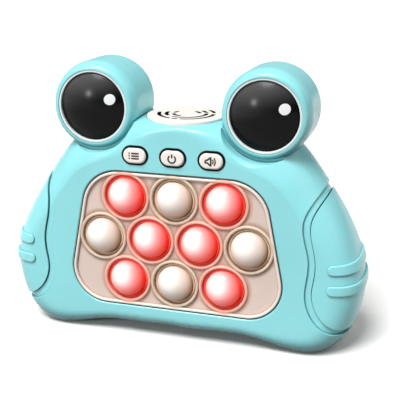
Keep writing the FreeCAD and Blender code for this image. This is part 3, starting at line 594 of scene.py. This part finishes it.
def mat_material():
    """Soft mat: beige web, pale rims and lip, painted shade in brown wells and by the rims, and pink and
    red painted lamp light by lit lamps.
    """
    material, t = start("Bubble mat rubber")
    where = place_output(t)
    surface = t.group("Moulded surface", Place=where, Grain=1900.0, Wave=120.0)
    # Painted light of the lit lamps: the pink tint, the lit rims and the red lit wells. Painted shade: the
    # brown plain wells.
    painted_lamp_tint, lip = (0.95, 0.42, 0.30), (0.80, 0.71, 0.64)
    plain_rim, lit_rim = (0.66, 0.535, 0.42), (0.73, 0.39, 0.315)
    plain_well, lit_well = (0.76, 0.53, 0.37), (0.85, 0.07, 0.04)
    flat = t.flat(where)
    depth = t.maths("SUBTRACT", t.split(where)[1], FACE_Y * MM)
    nearest = {}
    for name, centre in bubble_places().items():
        reach = t.reach(flat, *centre)
        lit = name in LIT
        nearest[lit] = t.maths("MINIMUM", nearest[lit], reach) if lit in nearest else reach
    any_reach = t.maths("MINIMUM", nearest[True], nearest[False])
    web, far = shades(settings().colours.mat, 0.96, 1.03)
    # Painted shade: the web darker near the rims and in gaps.
    shaded = tuple(np.multiply(web, (0.60, 0.51, 0.43)))
    base = t.mix(t.span(any_reach, RIM_R * MM, (RIM_R + 2.4) * MM, 0.0, 1.0), shaded,
                 t.mix(surface.outputs["Tone"], web, far))
    base = painted_crease_shade(t, base, shaded, 2.6)
    # Painted lamp light: the web tinted near lit lamps.
    base = t.mix(t.span(nearest[True], RIM_R * MM, (RIM_R + 3.0) * MM, 0.22, 0.0), base, painted_lamp_tint)
    raised = t.span(depth, 0.55 * MM, 0.95 * MM, 1.0, 0.0)
    by_lamp = t.span(nearest[True], (RIM_R + 0.15) * MM, (RIM_R + 0.5) * MM, 1.0, 0.0)
    by_dome = t.span(any_reach, (RIM_R + 0.1) * MM, (RIM_R + 0.4) * MM, 1.0, 0.0)
    edge = t.mix(by_dome, lip, t.mix(by_lamp, plain_rim, lit_rim))
    base = t.mix(raised, base, edge)
    for lit, colour in ((False, plain_well), (True, lit_well)):
        well = t.span(nearest[lit], (WELL_FOOT_R - 0.2) * MM, (WELL_FOOT_R + 0.2) * MM, 1.0, 0.0)
        base = t.mix(well, base, colour)
    # Painted glow: the rims by lit lamps give off a little light.
    glow = t.maths("MULTIPLY", by_lamp, t.span(depth, 0.6 * MM, 1.6 * MM, 1.0, 0.5))
    end(t, Base_Color=base, Roughness=t.span(surface.outputs["Rub"], 0.0, 1.0, 0.62, 0.52),
        Emission_Color=t.mix(glow, (0.0, 0.0, 0.0), base), Emission_Strength=0.12,
        Normal=bump(t, surface.outputs["Height"], 0.02 * MM, 0.2))
    return material


def eye_material():
    """Polished black dome: a white printed dot up and to the right, and a soft grey painted sheen above.

    The painted sheen follows the height 0.95 z - 0.3 x over the dome, from its middle to its edge.
    """
    material, t = start("Eye black gloss")
    size = settings().sizes.eye_dot
    grey, white = (0.085, 0.085, 0.088), (0.80, 0.81, 0.81)
    dot = t.span(t.reach(local(t), *EYE_DOT), size - 0.1 * MM, size + 0.1 * MM, 1.0, 0.0)
    surface = t.group("Moulded surface", Place=place_output(t), Grain=700.0, Wave=120.0)
    black = t.mix(surface.outputs["Tone"], (0.0008, 0.0008, 0.001), (0.0016, 0.0014, 0.0014))
    # Painted reflection: a grey sheen towards the top, laid into the colour.
    x, z, _ = t.split(local(t))
    height = t.maths("MULTIPLY_ADD", x, -0.3, t.maths("MULTIPLY", z, 0.95))
    shaded = t.mix(t.span(height, -1.0 * MM, 17.0 * MM, 0.0, 1.0), black, grey)
    end(t, Base_Color=t.mix(dot, shaded, white), Specular_IOR_Level=0.11,
        Roughness=t.span(surface.outputs["Rub"], 0.0, 1.0, 0.21, 0.20),
        Normal=bump(t, surface.outputs["Height"], 0.002 * MM))
    return material


def cloth_material():
    """Black speaker cloth: a fine weave of two crossing sets of threads."""
    material, t = start("Speaker cloth")
    where = place_output(t)
    threads = []
    for way in ("X", "Y"):
        wave = t.add("ShaderNodeTexWave", {"bands_direction": way}, Vector=where, Scale=480.0,
                     Distortion=0.4)
        threads.append(wave.outputs["Fac"])
    weave = t.maths("MULTIPLY", *threads)
    end(t, Base_Color=t.mix(weave, (0.006, 0.006, 0.006), (0.022, 0.021, 0.02)),
        Roughness=t.span(weave, 0.0, 1.0, 0.9, 0.7), Normal=bump(t, weave, 0.1 * MM))
    return material


def metal(name, colour, rough):
    """Plated or brushed metal: fine streaks along one way, the darker ones duller."""
    material, t = start(name)
    turn = t.add("ShaderNodeMapping")
    t.feed(turn.inputs["Vector"], place_output(t))
    t.feed(turn.inputs["Scale"], (1.0, 1.0, 30.0))
    streak = t.noise(turn.outputs[0], 400.0, 3.0, 0.6)
    base = t.mix(t.span(streak, 0.3, 0.7, 0.0, 1.0), tuple(np.array(colour) * 0.85), colour)
    end(t, Base_Color=base, Metallic=1.0, Roughness=t.span(streak, 0.3, 0.7, rough + 0.08, rough - 0.05),
        Normal=bump(t, streak, 0.005 * MM))
    return material


def board_material():
    """Green solder mask in a brick pattern of two greens, with paler green lines between."""
    material, t = start("Circuit board")
    where = place_output(t)
    bricks = t.add("ShaderNodeTexBrick", None, Scale=160.0)
    turn = t.add("ShaderNodeMapping")
    t.feed(turn.inputs["Vector"], where)
    t.feed(turn.inputs["Rotation"], (math.radians(90), 0.0, 0.0))
    t.feed(bricks.inputs["Vector"], turn.outputs[0])
    t.feed(bricks.inputs["Color1"], (0.02, 0.17, 0.05))
    t.feed(bricks.inputs["Color2"], (0.03, 0.22, 0.07))
    t.feed(bricks.inputs["Mortar"], (0.05, 0.30, 0.10))
    end(t, Base_Color=bricks.outputs["Color"], Roughness=t.span(t.noise(where, 300.0), 0.3, 0.7, 0.42, 0.3),
        Normal=bump(t, bricks.outputs["Fac"], 0.03 * MM))
    return material


def cell_material():
    """Printed wrapper of a cell: dark body, and an amber band at its upper end."""
    material, t = start("Cell wrapper")
    where = place_output(t)
    band = t.span(t.split(where)[2], 60.0 * MM, 60.4 * MM, 0.0, 1.0)
    grain = t.noise(where, 500.0, 3.0)
    base = t.mix(band, t.mix(grain, (0.03, 0.035, 0.04), (0.05, 0.055, 0.06)), (0.75, 0.45, 0.08))
    end(t, Base_Color=base, Metallic=0.4, Roughness=t.span(grain, 0.3, 0.7, 0.35, 0.25),
        Normal=bump(t, grain, 0.01 * MM))
    return material


def floor_material():
    """Plain pale floor, which gives less light back to the toy than the camera sees."""
    material, t = start("Pale floor")
    mottle = t.span(t.noise(place_output(t), 3.0, 3.0), 0.3, 0.7, 0.0, 1.0)
    seen = shades(settings().stage.floor, 0.99, 1.01)
    given = shades(settings().stage.floor, 0.14, 0.15)
    path = t.add("ShaderNodeLightPath")
    looked_at = t.maths("MAXIMUM", path.outputs["Is Camera Ray"], path.outputs["Is Glossy Ray"])
    shader = t.add("ShaderNodeBsdfDiffuse", None,
                   Color=t.mix(looked_at, t.mix(mottle, *given), t.mix(mottle, *seen)))
    out = t.add("ShaderNodeOutputMaterial")
    t.tree.links.new(shader.outputs[0], out.inputs["Surface"])
    return material


def finishes():
    """All finishes of the toy by the record's slot names."""
    if "Moulded surface" not in bpy.data.node_groups:
        moulded_group()
    c = settings().colours
    # Painted shade in gaps and below steps, teal on the housing and grips.
    painted_gap_teal = (0.02, 0.11, 0.125)
    return {
        "aqua_shell": lambda: plastic("Aqua housing", c.shell, 0.25, soft=0.35, gaps=(painted_gap_teal, 1.1),
                                      gloss=0.42, shade=housing_painted_shade),
        "aqua_grip": lambda: plastic("Aqua grip", c.grip, 0.30, 3200.0, soft=0.12, gaps=(painted_gap_teal, 1.3),
                                     gloss=0.45),
        # Painted shade in the gaps round the buttons, and a painted shadow at their feet.
        "cream_plastic": lambda: plastic("Cream button", c.cream, 0.36, 2200.0, soft=0.3,
                                         gaps=((0.10, 0.075, 0.06), 1.6), shade=button_foot_painted_shadow),
        "grille": grille_material,
        "cloth": cloth_material,
        "eye_black": eye_material,
        "eye_white": lambda: plastic("White eye ring", (0.74, 0.80, 0.80), 0.28, soft=0.2),
        "mat_rubber": mat_material,
        "bubble_plain": plain_bubble,
        "bubble_lit": lit_bubble,
        "inner_plastic": lambda: plastic("Inner plastic", (0.72, 0.73, 0.70), 0.45),
        "board": board_material,
        "lamp": lambda: plastic("Lamp lens", (0.86, 0.83, 0.72), 0.15, 900.0, depth=0.004 * MM),
        "switch": lambda: plastic("Switch body", (0.02, 0.02, 0.022), 0.4),
        "speaker_black": lambda: plastic("Speaker black", (0.018, 0.018, 0.02), 0.5, 900.0),
        "cell_wrap": cell_material,
        "steel": lambda: metal("Plated steel", (0.62, 0.61, 0.59), 0.28),
        "sign": lambda: plastic("Sign print", (0.022, 0.013, 0.010), 0.55, 1800.0, contrast=0.2),
    }


def finish(slot):
    """The material of a slot, made once."""
    key = "made:" + slot
    for material in bpy.data.materials:
        if material.get("slot") == key:
            return material
    material = finishes()[slot]()
    material["slot"] = key
    return material


def settings():
    """The toy's settings in the scene."""
    return bpy.context.scene.frog_toy


def bubble_places():
    """Centre of each bubble in x and z, in rows of three, four and three."""
    places = {}
    for row, count in ((1, 3), (0, 4), (-1, 3)):
        for k in range(count):
            name = f"bubble_{len(places) + 1:02d}"
            places[name] = ((k - (count - 1) / 2) * PITCH, PANEL_Z + row * ROW_PITCH)
    return places


def body_of(node):
    """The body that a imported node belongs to."""
    for body, nodes in frame["record"]["behaviour"]["bodies"].items():
        if node in nodes:
            return body
    raise KeyError(node)


class FrogOperator:
    """What all the toy's operators share."""

    bl_options = {"REGISTER", "UNDO"}

    @staticmethod
    def skins(nodes, slot, angle=35.0, look=None):
        """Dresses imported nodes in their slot's finish, or in another look of that slot."""
        for node in nodes:
            dressed(node, body_of(node), finish(look or slot), angle)


class FROG_OT_stage(FrogOperator, bpy.types.Operator):
    """Sets up the floor, the soft light, the pale room and the camera"""

    bl_idname = "frog.stage"
    bl_label = "Floor, light and camera"

    def execute(self, context):
        stage = settings().stage
        self.ground(context)
        self.sun("key_light", stage.key, spread=28.0, azimuth=-16.0, elevation=58.0)
        self.sun("fill_light", stage.fill, spread=50.0, azimuth=100.0, elevation=42.0)
        self.spot("front_light", 1.9, size=0.13, distance=0.9, azimuth=-28.0, elevation=15.0)
        self.room(context, stage.sky)
        self.camera(context, stage.lens)
        context.scene.view_settings.view_transform = "Standard"
        return {"FINISHED"}

    @staticmethod
    def ground(context):
        """A flat square of even quads, just under the toy's feet."""
        side = np.linspace(-FLOOR_SIZE / 2, FLOOR_SIZE / 2, FLOOR_STEPS + 1)
        x, y = np.meshgrid(side, side)
        verts = np.c_[x.ravel(), y.ravel(), np.full(x.size, -0.02 * MM)]
        k, j = np.meshgrid(np.arange(FLOOR_STEPS), np.arange(FLOOR_STEPS), indexing="ij")
        first = k * (FLOOR_STEPS + 1) + j
        above = first + FLOOR_STEPS + 1
        quads = np.stack((first, first + 1, above + 1, above), axis=-1).reshape(-1, 4)
        mesh = bpy.data.meshes.new("floor")
        mesh.from_pydata(verts.tolist(), [], quads.tolist())
        floor = bpy.data.objects.new("floor", mesh)
        context.scene.collection.objects.link(floor)
        mesh.materials.append(floor_material())

    @staticmethod
    def room(context, strength):
        """Even light from all round, in a room that the camera sees as nearly white."""
        world = bpy.data.worlds.new("pale_room")
        context.scene.world = world
        world.use_nodes = True
        t = Tree(world.node_tree)
        light = t.add("ShaderNodeBackground", None, Color=(1.0, 1.0, 1.0), Strength=strength)
        seen = t.add("ShaderNodeBackground", None, Color=(0.97, 0.97, 0.96), Strength=1.0)
        path = t.tree.nodes.new("ShaderNodeLightPath")
        pick = t.tree.nodes.new("ShaderNodeMixShader")
        t.tree.links.new(path.outputs["Is Camera Ray"], pick.inputs[0])
        t.tree.links.new(light.outputs[0], pick.inputs[1])
        t.tree.links.new(seen.outputs[0], pick.inputs[2])
        out = t.tree.nodes.new("ShaderNodeOutputWorld")
        t.tree.links.new(pick.outputs[0], out.inputs["Surface"])

    @staticmethod
    def towards(azimuth, elevation):
        """The way to a light or camera: azimuth to the right of the front, in degrees."""
        a, e = math.radians(azimuth), math.radians(elevation)
        return Vector((math.sin(a) * math.cos(e), -math.cos(a) * math.cos(e), math.sin(e)))

    @classmethod
    def sun(cls, name, strength, spread, azimuth, elevation):
        """A large soft light from far off."""
        data = bpy.data.lights.new(name, "SUN")
        data.energy = strength
        data.angle = math.radians(spread)
        lamp = bpy.data.objects.new(name, data)
        lamp.rotation_euler = cls.towards(azimuth, elevation).to_track_quat("Z", "Y").to_euler()
        bpy.context.scene.collection.objects.link(lamp)

    @classmethod
    def spot(cls, name, power, size, distance, azimuth, elevation):
        """A round soft box at a distance from the point that it lights."""
        data = bpy.data.lights.new(name, "AREA")
        data.shape = "DISK"
        data.size = size
        data.energy = power
        lamp = bpy.data.objects.new(name, data)
        way = cls.towards(azimuth, elevation)
        lamp.location = Vector(LIGHT_TARGET) * MM + way * distance
        lamp.rotation_euler = way.to_track_quat("Z", "Y").to_euler()
        bpy.context.scene.collection.objects.link(lamp)

    @classmethod
    def camera(cls, context, lens):
        """The camera of the photograph, aimed at a point of the toy's face."""
        azimuth, elevation, roll = CAMERA_ANGLES
        roll = math.radians(roll)
        target = Vector(CAMERA_TARGET) * MM
        back = cls.towards(azimuth, elevation)
        right = (-back).cross(Vector((0, 0, 1))).normalized()
        up = right.cross(-back)
        turned_right = right * math.cos(roll) + up * math.sin(roll)
        turned_up = up * math.cos(roll) - right * math.sin(roll)
        data = bpy.data.cameras.new("photo_camera")
        data.sensor_width = 36.0
        data.lens = lens
        data.clip_start = 0.01
        camera = bpy.data.objects.new("photo_camera", data)
        axes = Matrix((turned_right, turned_up, back)).transposed().to_4x4()
        camera.matrix_world = Matrix.Translation(target + back * CAMERA_DISTANCE) @ axes
        context.scene.collection.objects.link(camera)
        context.scene.camera = camera


class FROG_OT_housing(FrogOperator, bpy.types.Operator):
    """Dresses the two halves of the housing and the grip covers"""

    bl_idname = "frog.housing"
    bl_label = "Housing and grips"

    def execute(self, context):
        self.skins(("front_shell", "rear_shell"), "aqua_shell", 30.0)
        self.skins(("left_grip", "right_grip"), "aqua_grip", 30.0)
        return {"FINISHED"}


class FROG_OT_bubbles(FrogOperator, bpy.types.Operator):
    """Makes the ten press-in bubbles"""

    bl_idname = "frog.bubbles"
    bl_label = "Bubbles"

    def execute(self, context):
        for name, (x, z) in bubble_places().items():
            slot = "bubble_lit" if name in LIT else "bubble_plain"
            dome = lathe(self.profile(), settings().sizes.rounds, x, z)
            piece(name + "_dome", [dome], body_of(name), finish(slot), [name], (x, z))
        return {"FINISHED"}

    @staticmethod
    def profile():
        """Dome section: a large crown arc, a small shoulder arc, a skirt, and the same inside.

        The two arcs are tangent where they meet, 53 degrees up from square across. The inside
        follows 1.2 mm below, down to the stem that carries the contact pill.
        """
        crown, crown_r, shoulder, shoulder_r = (0, 6.6), 10.4, (3.6, 1.8), 4.4
        wall, join, stem_end = 1.2, -53.13, -79.0
        outer = np.vstack((arc(crown, crown_r, -90, join, 16),
                           arc(shoulder, shoulder_r, join, 0, 20)[1:]))
        inner = np.vstack((arc(crown, crown_r - wall, stem_end, join, 10),
                           arc(shoulder, shoulder_r - wall, join, 0, 14)[1:]))
        skirt = [(8.0, 4.8), (7.8, 5.0), (7.0, 5.0), (6.8, 4.8)]
        stem = [(1.8, -2.2), (1.8, 4.2), (2.2, 4.3), (2.3, 4.45), (2.3, 5.05), (2.15, 5.2), (0, 5.2)]
        profile = np.vstack((outer, skirt, inner[::-1], stem))
        profile[0, 0] = 0.0
        profile[:, 1] += FACE_Y
        return profile


class FROG_OT_mat(FrogOperator, bpy.types.Operator):
    """Dresses the soft mat that carries the bubbles"""

    bl_idname = "frog.mat"
    bl_label = "Bubble mat"

    def execute(self, context):
        self.skins(("bubble_mat",), "mat_rubber", 40.0)
        return {"FINISHED"}


class FROG_OT_eyes(FrogOperator, bpy.types.Operator):
    """Makes the two glossy eyes and their white rings"""

    bl_idname = "frog.eyes"
    bl_label = "Eyes"

    def execute(self, context):
        rounds = settings().sizes.rounds
        for side, x in (("left", -EYE_X), ("right", EYE_X)):
            node = side + "_eye_dome"
            dome = lathe(self.profile(), rounds, x, EYE_Z)
            piece(side + "_eye", [dome], body_of(node), finish("eye_black"), [node],
                  (x, EYE_Z))
            node = side + "_eye_ring"
            band = lathe(self.ring_profile(), rounds, x, EYE_Z)
            piece(side + "_eye_band", [band], body_of(node), finish("eye_white"), [node])
        return {"FINISHED"}

    @staticmethod
    def ring_profile():
        """Ring section: a flat front with two quarter rounds, and straight walls behind it."""
        inner, outer, front, back, r = 14.7, 15.7, 4.5, 7.15, 0.25
        inner_round = arc((inner + r, front + r), r, 180, 270, 6)
        outer_round = arc((outer - r, front + r), r, 270, 360, 6)
        profile = np.vstack((inner_round, outer_round, [(outer, back), (inner, back)], inner_round[:1]))
        profile[:, 1] += FACE_Y
        return profile

    @staticmethod
    def profile():
        """Eye section: a shallow ball cap of radius r and rise h, an edge, and a stepped foot.

        The ball's radius is (r^2 + h^2) / 2h, and its centre lies on the axis behind the cap.
        """
        r, rise, edge, foot, step = EYE_R, 4.4, 5.6, 8.4, 7.2
        ball = (r ** 2 + rise ** 2) / (2 * rise)
        lean = math.degrees(math.asin(r / ball))
        cap = arc((0, edge - rise + ball), ball, -90, -90 + lean, 40)
        foot_line = [(r, edge + 0.8), (r, step), (r + 0.7, step), (r + 0.7, foot), (0, foot)]
        profile = np.vstack((cap, foot_line))
        profile[0, 0] = 0.0
        profile[:, 1] += FACE_Y
        return profile


class FROG_OT_buttons(FrogOperator, bpy.types.Operator):
    """Dresses the three push buttons and puts their signs on"""

    bl_idname = "frog.buttons"
    bl_label = "Buttons and signs"

    def execute(self, context):
        self.skins(BUTTON_X, "cream_plastic")
        signs = {"menu_button": self.list_sign, "power_button": self.power_sign,
                 "volume_button": self.volume_sign}
        for node, draw in signs.items():
            middle = np.array((BUTTON_X[node], 0.0, BUTTON_Z))
            parts = [part + middle for part in draw(settings().sizes.sign_line / MM)]
            piece(node.replace("button", "sign"), parts, body_of(node), finish("sign"))
        return {"FINISHED"}

    @staticmethod
    def stroke(path, width):
        """A raised line on a button's face."""
        return strip(path, width, BUTTON_FACE, BUTTON_FACE - 0.09)

    @classmethod
    def list_sign(cls, width):
        """Three dots, each with a line to its right."""
        pitch, dot_x, dot_r, left, right = 1.1, -2.1, 0.36, -1.3, 2.3
        parts = []
        for z in (pitch, 0.0, -pitch):
            dot = arc((dot_x, z), dot_r, 0, 345, 24)
            parts.append(plate(dot, (dot_x, z), BUTTON_FACE, BUTTON_FACE - 0.07))
            x = np.linspace(left, right, 30)
            parts.append(cls.stroke(np.c_[x, 0 * x + z], width))
        return parts

    @classmethod
    def power_sign(cls, width):
        """An open circle with a stroke through its gap, which reaches 32 degrees to each side."""
        gap = 32
        circle = arc((0, -0.2), 1.6, 90 + gap, 450 - gap, 80)
        z = np.linspace(0.15, 2.0, 20)
        return [cls.stroke(circle, width), cls.stroke(np.c_[0 * z, z], width)]

    @classmethod
    def volume_sign(cls, width):
        """A loudspeaker in outline, a small box and a horn that opens to the right, and two waves."""
        left, neck, mouth, low, high = -2.3, -1.5, 0.1, 0.55, 1.8
        horn = along_sides([(left, low), (neck, low), (mouth, high),
                            (mouth, -high), (neck, -low), (left, -low)], 12)
        parts = [cls.stroke(np.vstack((horn, horn[:1])), width)]
        for radius, reach in ((1.7, 36), (2.6, 40)):
            parts.append(cls.stroke(arc((-0.6, 0), radius, -reach, reach, 30), width * 0.8))
        return parts


class FROG_OT_speaker(FrogOperator, bpy.types.Operator):
    """Dresses the grille and the loudspeaker under it"""

    bl_idname = "frog.speaker"
    bl_label = "Speaker"

    def execute(self, context):
        self.skins(("speaker_grille",), "cream_plastic", look="grille")
        self.skins(("speaker_cloth",), "speaker_black", look="cloth")
        self.skins(("speaker_driver",), "speaker_black", 50.0)
        self.skins(("speaker_clamp",), "inner_plastic")
        return {"FINISHED"}


class FROG_OT_battery(FrogOperator, bpy.types.Operator):
    """Dresses the battery door and cells, and winds their springs"""

    bl_idname = "frog.battery"
    bl_label = "Battery bay"

    def execute(self, context):
        self.skins(("battery_door",), "aqua_shell")
        self.skins(("battery_1", "battery_2", "battery_3"), "cell_wrap")
        self.skins(("battery_plates", "battery_door_screw"), "steel")
        springs = []
        low, high = BAY_ENDS
        front, back = CELLS_Y - CONTACT_RISE, CELLS_Y + CONTACT_RISE
        for x, wall, way in ((-CELL_PITCH, high, -1), (0.0, low, 1), (CELL_PITCH, high, -1)):
            springs.append(tube(self.coil(x, wall, way), 0.3, 10, (0.0, 0.0, 1.0)))
            left, right = x - CONTACT_SIDE, x + CONTACT_SIDE
            sheet = along_sides([(left, front), (right, front), (right, back), (left, back)], 8)
            springs.append(plate(sheet, (x, CELLS_Y), wall, wall + way * 0.4)[..., [0, 2, 1]])
        piece("battery_coils", springs, "toy", finish("steel"), ["battery_springs"])
        return {"FINISHED"}

    @staticmethod
    def coil(x, wall, way):
        """A coned helix: its radius falls from 4.2 to 2.2 mm as it climbs 0.8 mm in three turns."""
        wide, small, turns, foot, climb = 4.2, 2.2, 3, 0.65, 0.8
        t = np.linspace(0, 1, 160)
        a = 2 * np.pi * turns * t
        r = wide - (wide - small) * t
        return np.c_[x + r * np.cos(a), CELLS_Y + r * np.sin(a), wall + way * (foot + climb * t)]


class FROG_OT_inside(FrogOperator, bpy.types.Operator):
    """Dresses the board, its lamps and switches, the plate behind the mat and the screws"""

    bl_idname = "frog.inside"
    bl_label = "Inner parts"

    def execute(self, context):
        self.skins(("support_plate",), "inner_plastic")
        self.skins(("circuit_board",), "board")
        self.skins(("leds",), "lamp")
        self.skins(("button_switches",), "switch")
        self.skins(("case_screws", "board_screws"), "steel")
        return {"FINISHED"}


class FrogToy(bpy.types.PropertyGroup):
    """All settings of the toy."""

    colours: PointerProperty(type=FrogColours, name="Colours", description="Colours of the outer parts")
    sizes: PointerProperty(type=FrogSizes, name="Sizes", description="Sizes of small details")
    stage: PointerProperty(type=FrogStage, name="Stage", description="Light, floor and camera")


STEPS = (FROG_OT_stage, FROG_OT_housing, FROG_OT_bubbles, FROG_OT_mat, FROG_OT_eyes, FROG_OT_buttons,
         FROG_OT_speaker, FROG_OT_battery, FROG_OT_inside)


class FROG_PT_toy(bpy.types.Panel):
    """Lists the steps that build the toy, and its settings"""

    bl_idname = "FROG_PT_toy"
    bl_label = "Frog toy"
    bl_space_type = "VIEW_3D"
    bl_region_type = "UI"
    bl_category = "Frog toy"

    def draw(self, context):
        for step in STEPS:
            self.layout.operator(step.bl_idname)
        toy = context.scene.frog_toy
        for group in (toy.colours, toy.sizes, toy.stage):
            column = self.layout.column()
            for key in group.bl_rna.properties.keys():
                if key not in ("rna_type", "name"):
                    column.prop(group, key)


CLASSES = (FrogColours, FrogSizes, FrogStage, FrogToy, *STEPS, FROG_PT_toy)


def register():
    """Adds the toy's classes and settings to Blender."""
    for each in CLASSES:
        bpy.utils.register_class(each)
    bpy.types.Scene.frog_toy = PointerProperty(type=FrogToy)


def unregister():
    """Takes the toy's classes and settings out again."""
    del bpy.types.Scene.frog_toy
    for each in reversed(CLASSES):
        bpy.utils.unregister_class(each)


def main():
    """Builds the whole toy."""
    register()
    for step in STEPS:
        group, name = step.bl_idname.split(".")
        getattr(getattr(bpy.ops, group), name)()


if __name__ == "__main__":
    main()
